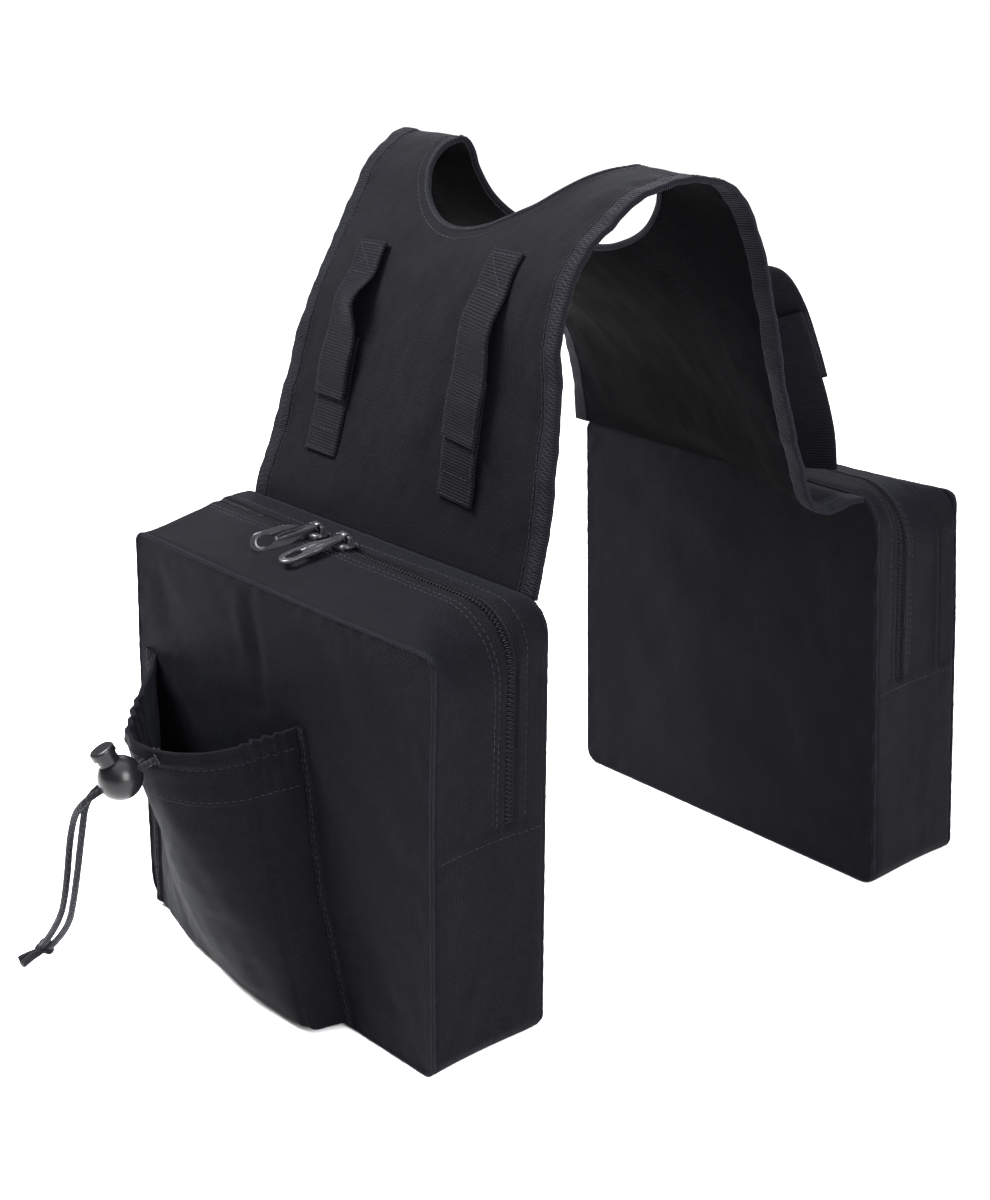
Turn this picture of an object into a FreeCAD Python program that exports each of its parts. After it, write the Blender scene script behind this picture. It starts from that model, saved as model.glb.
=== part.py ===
"""Saddle bag: two zipped box panniers joined by an arched fabric yoke with a round filler-cap hole.

Frame: millimetres, +Z up, X along the width of the panniers, Y across the saddle.
The near pannier is on the -Y side and the far one, its mirror image, on the +Y side.
The origin is on the ground, midway between the panniers.
"""

import FreeCAD
import Part
import math
import os

V = FreeCAD.Vector
UP = V(0, 0, 1)

DIMENSIONS = {
    # panniers
    "bag_width": 230, "bag_depth": 68, "bag_height": 215, "bag_gap": 230,
    "corner_radius": 12, "cloth": 1.6, "seam_band": 3, "piping_depth": 2.6,
    "boot_height": 112,
    # zip, measured outwards from the pannier's inner face
    "zip_from": 16, "zip_to": 26, "coil_from": 18.8, "coil_to": 23.2, "coil_rise": 0.9,
    # zip sliders and pull tabs
    "slider_length": 10, "slider_width": 8.4, "slider_wall": 1.1, "slider_gap": 0.35,
    "slider_left_x": -25, "slider_right_x": -4,
    "bridge_radius": 1.0, "bridge_rise": 4.6, "lug_length": 1.2,
    "eye_radius": 2.1, "eye_bore": 1.1, "eye_length": 5,
    "pull_length": 33, "pull_width": 10.5, "pull_neck": 4.6, "pull_thickness": 1.6,
    "pull_slot_length": 14, "pull_slot_width": 4.6, "pull_droop": 6.5,
    # bottle pocket: round mouth on the left, flatter foot
    "pocket_top": 147, "pocket_foot": 3, "pocket_back": 183.2, "hem_height": 30,
    "bottle_x": -14, "bottle_y": -213, "mouth_radius": 34,
    "mouth_left_x": -101, "mouth_right_x": 21, "foot_left_x": -105, "foot_right_x": 53,
    "foot_bulge_left_x": -66, "foot_bulge_left_y": -195,
    "foot_bulge_right_x": 48, "foot_bulge_right_y": -203,
    "foot_middle_x": -8, "foot_middle_y": -204,
    "hem_thickness": 4.8, "drawstring_inset": 2.4, "drawstring_height": 140.4,
    "string_left": 66, "string_right": 9,
    # cord and ball lock
    "cord_diameter": 3.4, "cord_spacing": 4.4, "cord_clearance": 0.3,
    "lock_x": -14.2, "lock_y": -258.7, "lock_z": 129.8, "lock_heading": 30, "lock_dip": 28,
    "ball_radius": 10.5, "plunger_radius": 5.0, "plunger_bore": 5.2, "plunger_foot": 3.4,
    "plunger_travel": 4, "cap_radius": 6.0, "cap_from": 13.4, "cap_to": 17,
    "spring_radius": 3.6, "spring_wire": 0.6, "spring_pitch": 2.2,
    "strand_reach": 22.8, "strand_end": 9.0, "tail_start": 9.3,
    "knot_radius": 6,
    # yoke
    "yoke_half_width": 105, "binding_width": 8, "yoke_cloth": 2, "binding_cloth": 1,
    "seam_height": 217.5, "hole_binding_width": 4,
    "cap_hole_x": 3, "cap_hole_y": -20, "cap_hole_half_width": 62, "cap_hole_half_length": 44,
    # tie-down straps on the flanks
    "strap_width": 25, "strap_near_left_x": -62, "strap_near_right_x": 46,
    "strap_far_left_x": -62, "strap_far_right_x": 67, "strap_bow": 23,
    "strap_cloth": 1.4, "patch_cloth": 0.6, "layer_gap": 0.3,
}

# The yoke's resting arch at its right and left edges, as (y, z): foot, spring of the arch, mid-arc,
# crown, mid-arc, spring, foot. The arch leans, and it is slightly twisted from one edge to the other.
RIGHT_EDGE = [(-115, 0), (-101, 337), (-73, 376), (-30, 389.5), (6, 382), (30, 350), (115, 0)]
LEFT_EDGE = [(-115, 0), (-52, 353), (-34, 379), (-8, 389.5), (6, 374), (12, 345), (115, 0)]

# The near lock's two cord tails down to the knot, as corners (x, y, z) that get rounded off, and the
# cut ends of the cord beyond the knot.
TAIL_A = [(-42, -270, 99), (-57, -266.5, 57), (-74, -262.5, 31), (-98, -259.6, 7.6)]
TAIL_B = [(-35, -268.5, 97), (-49, -266, 61), (-70, -260, 27.5), (-98, -256.4, 5.2)]
KNOT = V(-98, -258, 6.3)
CORD_ENDS = [V(-96.5, -272, 2.6), V(-101.5, -271, 2.6)]

doc = FreeCAD.newDocument("saddle_bag")
sheet = doc.addObject("Spreadsheet::Sheet", "dims")
for row, (alias, value) in enumerate(DIMENSIONS.items(), start=1):
    sheet.set(f"A{row}", alias)
    sheet.set(f"B{row}", str(value))
    sheet.setAlias(f"B{row}", alias)
doc.recompute()

finished = []


def size(alias):
    """A driving dimension, read from the sheet."""
    return float(getattr(sheet, alias))


def bound(expression):
    """The expression with every dimension's name pointing at the sheet."""
    for alias in sorted(DIMENSIONS, key=len, reverse=True):
        expression = expression.replace("$" + alias, "dims." + alias)
    return expression


def keep(made, label):
    """Marks an object as a finished sub-part and names it."""
    made.Label = label
    finished.append(made)
    return made


def from_shape(name, shape):
    """A feature that holds a shape made with Part's own functions."""
    made = doc.addObject("Part::Feature", name)
    made.Shape = shape
    return made


def box(name, corner, lengths):
    """A box whose low corner and side lengths are expressions."""
    made = doc.addObject("Part::Box", name)
    for axis, expression in zip("xyz", corner):
        made.setExpression(f"Placement.Base.{axis}", bound(expression))
    for side, expression in zip(("Length", "Width", "Height"), lengths):
        made.setExpression(side, bound(expression))
    return made


def cylinder(name, radius, height, base, direction):
    """A cylinder with bound radius and height, from a base point along a direction."""
    made = doc.addObject("Part::Cylinder", name)
    made.setExpression("Radius", bound(radius))
    made.setExpression("Height", bound(height))
    made.Placement = FreeCAD.Placement(base, FreeCAD.Rotation(UP, direction))
    return made


def boolean(kind, name, *parts):
    """Part::Cut of two objects, or Part::MultiFuse or Part::MultiCommon of several."""
    made = doc.addObject(kind, name)
    if kind == "Part::Cut":
        made.Base, made.Tool = parts
    else:
        made.Shapes = list(parts)
    return made


# ---------------------------------------------------------------- panniers

def bag_block(name, depth_from, depth_to, inset):
    """The pannier's outline, inset, as a block between two depths from its inner face."""
    block = box(
        name + "_block",
        (f"-$bag_width / 2 + {inset}", f"-$bag_gap / 2 - ({depth_to})", inset),
        (f"$bag_width - 2 * ({inset})", f"({depth_to}) - ({depth_from})", f"$bag_height - 2 * ({inset})"),
    )
    doc.recompute()
    rounded = doc.addObject("Part::Fillet", name + "_rounded")
    rounded.Base = block
    radius = size("corner_radius") - float(sheet_value(inset))
    rounded.Edges = [
        (number, radius, radius)
        for number, edge in enumerate(block.Shape.Edges, start=1)
        if abs(edge.tangentAt(edge.FirstParameter).y) > 0.9
    ]
    return rounded


def sheet_value(expression):
    """The number that an expression on the sheet's dimensions works out to."""
    probe = doc.addObject("Part::Box", "probe")
    probe.setExpression("Placement.Base.x", bound(expression))
    doc.recompute()
    value = probe.Placement.Base.x
    doc.removeObject(probe.Name)
    return value


def bag_ring(name, depth_from, depth_to, outer, inner):
    """A closed band round the pannier, between two depths and two insets."""
    return boolean(
        "Part::Cut", name + "_ring",
        bag_block(name + "_outer", depth_from, depth_to, outer),
        bag_block(name + "_inner", f"{depth_from} - 1", f"{depth_to} + 1", inner),
    )


def part_above(name, ring):
    """The part of a ring above the boot's seam."""
    above = box(name + "_above", ("-$bag_width", "-$bag_gap - $bag_depth", "$boot_height"),
                ("2 * $bag_width", "$bag_gap", "$bag_height"))
    return boolean("Part::MultiCommon", name, ring, above)


def part_below(name, ring):
    """The part of a ring below the boot's seam."""
    below = box(name + "_below", ("-$bag_width", "-$bag_gap - $bag_depth", "-1"),
                ("2 * $bag_width", "$bag_gap", "$boot_height + 1"))
    return boolean("Part::MultiCommon", name, ring, below)


def make_panels():
    """Outer and inner panels with the piping that frames them, and the gusset between."""
    keep(bag_block("outer_panel", "$bag_depth - $cloth", "$bag_depth", "$seam_band"), "near_outer_panel")
    keep(bag_block("inner_panel", "0", "$cloth", "$seam_band"), "near_inner_panel")
    keep(bag_ring("front_piping", "$bag_depth - $piping_depth", "$bag_depth", "0", "$seam_band"),
         "near_front_piping")
    keep(bag_ring("rear_piping", "0", "$piping_depth", "0", "$seam_band"), "near_rear_piping")
    whole = bag_ring("lower", "$piping_depth", "$bag_depth - $piping_depth", "0", "$cloth")
    keep(part_below("lower_gusset", whole), "near_lower_gusset")
    inner = bag_ring("upper_inner", "$piping_depth", "$zip_from", "0", "$cloth")
    keep(part_above("zip_inner_gusset", inner), "near_zip_inner_gusset")
    outer = bag_ring("upper_outer", "$zip_to", "$bag_depth - $piping_depth", "0", "$cloth")
    keep(part_above("zip_outer_gusset", outer), "near_zip_outer_gusset")


def make_zip():
    """The U-shaped zip: a tape with the coil standing on it."""
    tape = part_above("zip_tape", bag_ring("tape", "$zip_from", "$zip_to", "$cloth / 3", "$cloth"))
    coil = part_above("zip_coil", bag_ring("coil", "$coil_from", "$coil_to", "-$coil_rise", "$cloth / 3"))
    keep(boolean("Part::MultiFuse", "zip", tape, coil), "near_zip")


def make_slider(name, place):
    """A slider over the coil, with a bridge pin that its pull tab turns on."""
    middle = "-$bag_gap / 2 - ($coil_from + $coil_to) / 2"
    deck = "$bag_height + $coil_rise + $slider_gap"
    plate = box(name + "_plate", (f"{place} - $slider_length / 2", f"{middle} - $slider_width / 2", deck),
                ("$slider_length", "$slider_width", "$slider_wall"))
    solids = [plate]
    for side, offset in (("front", "-$slider_width / 2"), ("back", "$slider_width / 2 - $slider_wall")):
        solids.append(box(
            f"{name}_{side}_flange",
            (f"{place} - $slider_length / 2", f"{middle} + {offset}", "$bag_height + $slider_gap"),
            ("$slider_length", "$slider_wall", "$coil_rise + $slider_wall")))
    for side, offset in (("left", "-$slider_length / 2"), ("right", "$slider_length / 2 - $lug_length")):
        solids.append(box(
            f"{name}_{side}_lug",
            (f"{place} + {offset}", f"{middle} - $bridge_radius", deck),
            ("$lug_length", "2 * $bridge_radius", "$bridge_rise + $bridge_radius - $slider_gap")))
    pin = doc.addObject("Part::Cylinder", name + "_bridge")
    pin.setExpression("Radius", bound("$bridge_radius"))
    pin.setExpression("Height", bound("$slider_length"))
    pin.Placement.Rotation = FreeCAD.Rotation(UP, V(1, 0, 0))
    pin.setExpression("Placement.Base.x", bound(f"{place} - $slider_length / 2"))
    pin.setExpression("Placement.Base.y", bound(middle))
    pin.setExpression("Placement.Base.z", bound("$bag_height + $coil_rise + $bridge_rise"))
    solids.append(pin)
    keep(boolean("Part::MultiFuse", name, *solids), "near_" + name)


def make_pull(name, place):
    """A pull tab: a rolled eye on the bridge pin, a neck, and a flat tongue with a slot."""
    body = doc.addObject("PartDesign::Body", name)
    plane = [f for f in body.Origin.OriginFeatures if f.Role == "XY_Plane"][0]
    sketch = body.newObject("Sketcher::SketchObject", name + "_outline")
    sketch.AttachmentSupport = [(plane, "")]
    sketch.MapMode = "FlatFace"
    length, half, neck = size("pull_length"), size("pull_width") / 2, size("pull_neck") / 2
    start, shoulder = -size("eye_radius") * 0.8, -size("pull_length") * 0.3
    outline = [V(-neck, start, 0), V(-neck, shoulder, 0), V(-half, shoulder - half, 0),
               V(-half, half - length, 0)]
    for a, b in zip(outline, outline[1:]):
        sketch.addGeometry(Part.LineSegment(a, b))
    round_end = Part.Arc(V(-half, half - length, 0), V(0, -length, 0), V(half, half - length, 0))
    sketch.addGeometry(round_end)
    back = [V(-p.x, p.y, 0) for p in reversed(outline)]
    for a, b in zip(back, back[1:]):
        sketch.addGeometry(Part.LineSegment(a, b))
    sketch.addGeometry(Part.LineSegment(back[-1], outline[0]))
    pad = body.newObject("PartDesign::Pad", name + "_tongue")
    pad.Profile = sketch
    pad.Midplane = True
    pad.setExpression("Length", bound("$pull_thickness"))
    slot = body.newObject("PartDesign::SubtractiveBox", name + "_slot")
    slot.setExpression("Length", bound("$pull_slot_width"))
    slot.setExpression("Width", bound("$pull_slot_length"))
    slot.setExpression("Height", bound("2 * $pull_thickness"))
    slot.Placement.Base = V(-size("pull_slot_width") / 2,
                            half * 0.6 - length, -size("pull_thickness"))
    eye = body.newObject("PartDesign::AdditiveCylinder", name + "_eye")
    eye.setExpression("Radius", bound("$eye_radius"))
    eye.setExpression("Height", bound("$eye_length"))
    eye.Placement = FreeCAD.Placement(V(-size("eye_length") / 2, 0, 0), FreeCAD.Rotation(UP, V(1, 0, 0)))
    bore = body.newObject("PartDesign::SubtractiveCylinder", name + "_bore")
    bore.setExpression("Radius", bound("$eye_bore"))
    bore.setExpression("Height", bound("2 * $eye_length"))
    bore.Placement = FreeCAD.Placement(V(-size("eye_length"), 0, 0), FreeCAD.Rotation(UP, V(1, 0, 0)))
    body.Placement = FreeCAD.Placement(
        V(sheet_value(place), sheet_value("-$bag_gap / 2 - ($coil_from + $coil_to) / 2"),
          sheet_value("$bag_height + $coil_rise + $bridge_rise")),
        FreeCAD.Rotation(V(1, 0, 0), size("pull_droop")))
    keep(body, "near_" + name)


# ---------------------------------------------------------------- bottle pocket

def pocket_outline(share, inset):
    """The pocket's outline in plan: left flank, bulge and right flank, from foot (0) to mouth (1).

    Returned as the four ends and the bulge's middle point, all inset towards the bottle.
    """
    middle = V(size("bottle_x"), size("bottle_y"), 0)
    radius = size("mouth_radius")
    back = -size("pocket_back")
    turns = [math.radians(angle) for angle in (229.4, 290, 378)]
    mouth = [V(size("mouth_left_x"), back, 0)]
    mouth += [middle + V(math.cos(a), math.sin(a), 0) * radius for a in turns]
    mouth.append(V(size("mouth_right_x"), back, 0))
    foot = [
        V(size("foot_left_x"), back, 0),
        V(size("foot_bulge_left_x"), size("foot_bulge_left_y"), 0),
        V(size("foot_middle_x"), size("foot_middle_y"), 0),
        V(size("foot_bulge_right_x"), size("foot_bulge_right_y"), 0),
        V(size("foot_right_x"), back, 0),
    ]
    points = [a * (1 - share) + b * share for a, b in zip(foot, mouth)]
    if not inset:
        return points
    moved = []
    for index, point in enumerate(points):
        before, after = points[max(index - 1, 0)], points[min(index + 1, 4)]
        along = (after - before).normalize()
        moved.append(point + V(-along.y, along.x, 0) * inset)
    moved[0].y = moved[4].y = back + 1
    moved[0].x = points[0].x + 2.2 * inset
    return moved


def pocket_wire(height, inset):
    """The closed outline at a height, its back edge along the pannier's face."""
    foot, top = size("pocket_foot"), size("pocket_top")
    a, b, c, d, e = (p + V(0, 0, height) for p in pocket_outline((height - foot) / (top - foot), inset))
    return Part.Wire([Part.makeLine(a, b), Part.Arc(b, c, d).toShape(), Part.makeLine(d, e),
                      Part.makeLine(e, a)])


def pocket_solid(low, high, inset):
    """The pocket's space between two heights, inset, with straight walls from low to high."""
    return Part.makeLoft([pocket_wire(low, inset), pocket_wire(high, inset)], True, True)


def drawstring_path():
    """The drawstring's line inside the hem."""
    height = size("drawstring_height")
    foot, top = size("pocket_foot"), size("pocket_top")
    share = (height - foot) / (top - foot)
    points = [p + V(0, 0, height) for p in pocket_outline(share, size("drawstring_inset"))]
    bend = Part.Arc(*points[1:4])
    first, last = bend.tangent(bend.FirstParameter)[0], bend.tangent(bend.LastParameter)[0]
    left = Part.makeLine(points[1] - first * size("string_left"), points[1])
    right = Part.makeLine(points[3], points[3] + last * size("string_right"))
    return Part.Wire([left, bend.toShape(), right])


def tube(path, radius):
    """A round tube along a wire, with both ends closed."""
    start = path.OrderedVertexes[0].Point
    first = path.OrderedEdges[0]
    tangent = first.tangentAt(first.FirstParameter)
    if (first.valueAt(first.FirstParameter) - start).Length > 0.01:
        tangent = -first.tangentAt(first.LastParameter)
    ring = Part.Wire([Part.makeCircle(radius, start, tangent)])
    return path.makePipeShell([ring], True, False)


def lock_frame():
    """Placement of the cord lock: X is the cords' way out, Z the plunger's axis."""
    heading = FreeCAD.Rotation(UP, -90 - size("lock_heading"))
    dip = FreeCAD.Rotation(V(0, 1, 0), size("lock_dip"))
    return FreeCAD.Placement(V(size("lock_x"), size("lock_y"), size("lock_z")), heading.multiply(dip))


def strand_offsets():
    """Sideways places of the two strands in the lock."""
    half = size("cord_spacing") / 2
    return (-half, half)


def lock_rods(radius, start, end):
    """Two straight rods side by side along the lock's cord axis."""
    rods = [Part.makeCylinder(radius, end - start, V(start, y, 0), V(1, 0, 0)) for y in strand_offsets()]
    both = rods[0].fuse(rods[1])
    both.Placement = lock_frame()
    return both


def make_pocket():
    """The bottle pocket, its hem with a drawstring tunnel, and the drawstring in it."""
    foot, top, hem = size("pocket_foot"), size("pocket_top"), size("hem_height")
    cloth, cord = size("cloth"), size("cord_diameter") / 2
    break_line = top - hem
    outside = pocket_solid(foot, break_line, 0)
    inside = pocket_solid(foot + cloth, break_line, cloth)
    inside = inside.fuse(inside.translated(V(0, 0, 2)))
    keep(from_shape("pocket", outside.cut(inside)), "near_bottle_pocket")
    band = pocket_solid(break_line, top, 0).cut(pocket_solid(break_line, top, size("hem_thickness")))
    spare, reach = size("cord_clearance"), size("strand_reach")
    string = tube(drawstring_path(), cord).fuse(lock_rods(cord, -reach, size("strand_end")))
    tunnel = tube(drawstring_path(), cord + 0.1).fuse(lock_rods(cord + spare, -reach - spare, 0))
    keep(from_shape("hem", band.cut(tunnel)), "near_pocket_hem")
    keep(from_shape("drawstring", string), "near_drawstring")


def make_cord_lock():
    """A ball lock: bored ball, sprung plunger with a cord slot, and the spring under it."""
    cord, spare = size("cord_diameter") / 2, size("cord_clearance")
    ball_radius, foot = size("ball_radius"), -size("plunger_foot")
    bore_end = 1.2 - ball_radius
    frame = lock_frame()
    slot_half = size("cord_spacing") / 2 + cord + spare
    ball = Part.makeSphere(ball_radius)
    ball = ball.cut(Part.makeCylinder(size("plunger_bore"), 2 * ball_radius, V(0, 0, bore_end)))
    for y in strand_offsets():
        ball = ball.cut(Part.makeCylinder(cord + spare, 3 * ball_radius, V(-1.5 * ball_radius, y, 0), V(1, 0, 0)))
    stem = Part.makeCylinder(size("plunger_radius"), size("cap_from") - foot, V(0, 0, foot))
    window = Part.makeBox(2.4 * ball_radius, 2 * slot_half, 2 * (cord + spare) + size("plunger_travel"),
                          V(-1.2 * ball_radius, -slot_half, -cord - spare))
    cap = Part.makeCylinder(size("cap_radius"), size("cap_to") - size("cap_from"), V(0, 0, size("cap_from")))
    cap = cap.makeFillet(1.2, [e for e in cap.Edges if e.CenterOfMass.z > size("cap_to") - 0.1])
    plunger = stem.cut(window).fuse(cap).removeSplitter()
    wire = size("spring_wire") / 2
    height = foot - bore_end - 2 * wire - 0.2

    def coil(sixths):
        angle = math.radians(60 * sixths)
        return V(math.cos(angle) * size("spring_radius"), math.sin(angle) * size("spring_radius"),
                 bore_end + wire + 0.1 + size("spring_pitch") * sixths / 6)

    turns = height / size("spring_pitch")
    arcs = [Part.Arc(coil(k), coil(k + 0.5), coil(k + 1)).toShape() for k in range(int(6 * turns))]
    spring = tube(Part.Wire(arcs), wire)
    for name, shape in (("lock_ball", ball), ("lock_plunger", plunger), ("lock_spring", spring)):
        shape.Placement = frame.multiply(shape.Placement)
        keep(from_shape(name, shape), "near_" + name)


def rounded_route(points):
    """Straight runs between hand-set points, joined by tangent arcs as large as the runs allow."""
    edges, start = [], points[0]
    for before, corner, after in zip(points, points[1:], points[2:]):
        arriving, leaving = (corner - before), (after - corner)
        half_turn = arriving.getAngle(leaving) / 2
        reach = min((0.9 if before is points[0] else 0.48) * arriving.Length,
                    (0.9 if after is points[-1] else 0.48) * leaving.Length, 14)
        radius = reach / math.tan(half_turn)
        arc_start = corner - arriving.normalize() * reach
        arc_end = corner + leaving.normalize() * reach
        inward = (arc_start + arc_end) * 0.5 - corner
        middle = corner + inward.normalize() * (radius / math.cos(half_turn) - radius)
        edges.append(Part.makeLine(start, arc_start))
        edges.append(Part.Arc(arc_start, middle, arc_end).toShape())
        start = arc_end
        print(f"cord arc radius {radius:.1f}")
    edges.append(Part.makeLine(start, points[-1]))
    return Part.Wire(edges)


def make_tails():
    """The two free strands below the lock, and the overhand knot that joins them."""
    radius = size("cord_diameter") / 2
    frame = lock_frame()
    start = size("tail_start")
    for name, side, bend, route in (("tail_a", strand_offsets()[1], 20.3, TAIL_A),
                                    ("tail_b", strand_offsets()[0], 17.5, TAIL_B)):
        points = [frame.multVec(V(start, side, 0)), frame.multVec(V(bend, side, 0))]
        points += [V(*p) for p in route]
        points[-1] += (points[-2] - points[-1]).normalize() * (size("knot_radius") - 1.5)
        path = rounded_route(points)
        strand = tube(path, radius)
        print(name, "length", round(path.Length, 1), "volume", round(strand.Volume, 1),
              "expected", round(path.Length * math.pi * radius ** 2, 1))
        keep(from_shape(name, strand), "near_cord_" + name)
    knot = Part.makeSphere(size("knot_radius"), KNOT)
    for end in CORD_ENDS:
        knot = knot.fuse(Part.makeCylinder(radius, (end - KNOT).Length, KNOT, end - KNOT))
    for tail in ("tail_a", "tail_b"):
        knot = knot.cut(doc.getObject(tail).Shape)
    keep(from_shape("knot", knot), "near_cord_knot")


# ---------------------------------------------------------------- yoke

# Where the straps lie on a flank, as shares of its height. A bowed strap's layers all bend at the same
# steps, so that they stay on each other.
STRAP_TOP, STRAP_END, TAB_TOP, TAB_FOOT, STITCHED, BOW_STEP = 0.94, 0.40, 0.62, 0.20, 0.06, 0.02


def edge_profile(share, offset):
    """The arch at a share of the way from the left edge to the right, offset outwards.

    Seven points: foot, spring, mid-arc, crown, mid-arc, spring, foot.
    """
    seam = size("seam_height")
    points = []
    for (ly, lz), (ry, rz) in zip(LEFT_EDGE, RIGHT_EDGE):
        y, z = ly + (ry - ly) * share, lz + (rz - lz) * share
        points.append(V(0, y, z if z else seam))
    moved = []
    for index, point in enumerate(points):
        before, after = points[max(index - 1, 0)], points[min(index + 1, 6)]
        along = (after - before).normalize()
        moved.append(point + V(0, -along.z, along.y) * offset)
    return moved


def section_wire(x, low, high):
    """The closed cross-section of a layer of the arch at x, between two offsets."""
    share = (x / size("yoke_half_width") + 1) / 2
    low_points = [p + V(x, 0, 0) for p in edge_profile(share, low)]
    high_points = [p + V(x, 0, 0) for p in edge_profile(share, high)]

    def run(p):
        return [Part.makeLine(p[0], p[1]), Part.Arc(p[1], p[2], p[3]).toShape(),
                Part.Arc(p[3], p[4], p[5]).toShape(), Part.makeLine(p[5], p[6])]

    return Part.Wire(run(high_points) + [Part.makeLine(high_points[6], low_points[6])]
                     + run(low_points)[::-1] + [Part.makeLine(low_points[0], high_points[0])])


def arch_layer(stations, low, high):
    """A layer of the arch between two offsets, straight from one station in x to the next."""
    return Part.makeLoft([section_wire(x, low, high) for x in stations], True, True)


def flank_point(side, x, share, offset):
    """A point on a flank: share 0 at its seam, 1 where the arch springs."""
    profile = edge_profile((x / size("yoke_half_width") + 1) / 2, offset)
    foot, spring = (profile[0], profile[1]) if side == "near" else (profile[6], profile[5])
    return foot + (spring - foot) * share + V(x, 0, 0)


def flank_layer(side, x_from, x_to, share_from, share_to, low, high, bow=0):
    """A strip on a flank, ruled between its two long edges, lying flat or bowed out in runs."""
    runs = round((share_to - share_from) / BOW_STEP) if bow else 1
    shares = [share_from + (share_to - share_from) * k / runs for k in range(runs + 1)]
    wires = []
    for x in (x_from, x_to):
        def edge(offset):
            return [flank_point(side, x, share, offset + bow * bulge(share)) for share in shares]
        corners = edge(low) + edge(high)[::-1]
        wires.append(Part.makePolygon(corners + corners[:1]))
    return Part.makeLoft(wires, True, True)


def bulge(share):
    """How far a bowed strap stands off at a share of its flank, from 0 where it is sewn to about 1."""
    reach = min(max((STRAP_TOP - STITCHED - share) / (STRAP_TOP - STITCHED - TAB_FOOT), 0), 1)
    return math.sin(math.pi * reach ** 0.8) ** 0.8


def hole_rod(extra):
    """A tall rod of the cap hole's oval outline seen from above, wider by extra all round."""
    centre = V(size("cap_hole_x"), size("cap_hole_y"), 200)
    outline = Part.Ellipse(centre, size("cap_hole_half_width") + extra, size("cap_hole_half_length") + extra)
    return Part.Face(Part.Wire(outline.toShape())).extrude(V(0, 0, 300))


def make_yoke():
    """The arched panel, the bindings on its two edges and the binding round the cap hole."""
    half, band = size("yoke_half_width"), size("binding_width")
    stations = [-half, band - half, half - band, half]
    cutter = hole_rod(0)
    panel = arch_layer(stations, -size("yoke_cloth"), 0).cut(cutter)
    keep(from_shape("yoke_panel", panel), "yoke_panel")
    thick = size("binding_cloth")
    keep(from_shape("yoke_left_binding", arch_layer(stations[:2], 0, thick)), "yoke_left_binding")
    keep(from_shape("yoke_right_binding", arch_layer(stations[2:], 0, thick)), "yoke_right_binding")
    rim = hole_rod(size("hole_binding_width"))
    ring = arch_layer(stations[1:3], 0, thick).common(rim.cut(cutter))
    keep(from_shape("cap_hole_binding", ring), "cap_hole_binding")


def make_straps():
    """Four hook-and-loop tie-down straps, each closing on a tab sewn lower down its flank."""
    patches = []
    half = size("strap_width") / 2
    strap, patch, gap = size("strap_cloth"), size("patch_cloth"), size("layer_gap")
    tab_low = gap
    loop_low = tab_low + strap
    hook_low = loop_low + patch + gap
    strap_low = hook_low + patch
    for side in ("near", "far"):
        for hand in ("left", "right"):
            middle = size(f"strap_{side}_{hand}_x")
            span = (side, middle - half, middle + half)
            label = f"{side}_{hand}_strap"
            bow = size("strap_bow") if label == "far_right_strap" else 0
            tab = flank_layer(*span, TAB_FOOT, TAB_TOP, tab_low, loop_low, bow)
            keep(from_shape(label + "_tab", tab), label + "_tab")
            patches.append(flank_layer(*span, STRAP_END, TAB_TOP - 0.02, loop_low, loop_low + patch, bow))
            hook = flank_layer(*span, STRAP_END, TAB_TOP - 0.02, hook_low, strap_low, bow)
            keep(from_shape(label + "_hooks", hook), label + "_hooks")
            web = flank_layer(*span, STRAP_END, STRAP_TOP, strap_low, strap_low + strap, bow)
            root = flank_layer(*span, STRAP_TOP - STITCHED, STRAP_TOP, gap, strap_low)
            keep(from_shape(label, web.fuse(root)), label)
    keep(from_shape("strap_loop_patches", Part.makeCompound(patches)), "strap_loop_patches")


def mirror_to_far():
    """The far pannier's pieces: each near pannier piece mirrored across the saddle's middle plane."""
    for near in [f for f in finished if f.Label.startswith("near_") and "_strap" not in f.Label]:
        far = doc.addObject("Part::Mirroring", near.Name + "_far")
        far.Source = near
        far.Base = V(0, 0, 0)
        far.Normal = V(0, 1, 0)
        keep(far, near.Label.replace("near_", "far_", 1))


def build():
    make_panels()
    make_zip()
    for hand in ("left", "right"):
        make_slider(f"zip_slider_{hand}", f"$slider_{hand}_x")
        make_pull(f"zip_pull_{hand}", f"$slider_{hand}_x")
    make_pocket()
    make_cord_lock()
    make_tails()
    make_yoke()
    make_straps()
    mirror_to_far()
    doc.recompute()


def check_and_export():
    """Stops on any failed object or bad shape, then writes one STEP file per sub-part."""
    for made in doc.Objects:
        if "Invalid" in made.State or "Error" in made.State:
            raise SystemExit(f"{made.Label} did not build: {made.State}")
    for made in finished:
        if made.Shape.isNull() or not made.Shape.isValid() or made.Shape.Volume <= 0:
            raise SystemExit(f"{made.Label} has no valid solid")
    os.makedirs("parts", exist_ok=True)
    for made in finished:
        made.Shape.exportStep(f"parts/{made.Label}.step")
    print(len(finished), "sub-parts written")


build()
check_and_export()
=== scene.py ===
"""The saddle bag's looks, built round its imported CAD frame. Lengths are in millimetres until they
become mesh vertices, which are in metres."""

import bmesh
import bpy
import math
import numpy as np
from mathutils import Matrix, Vector


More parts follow.
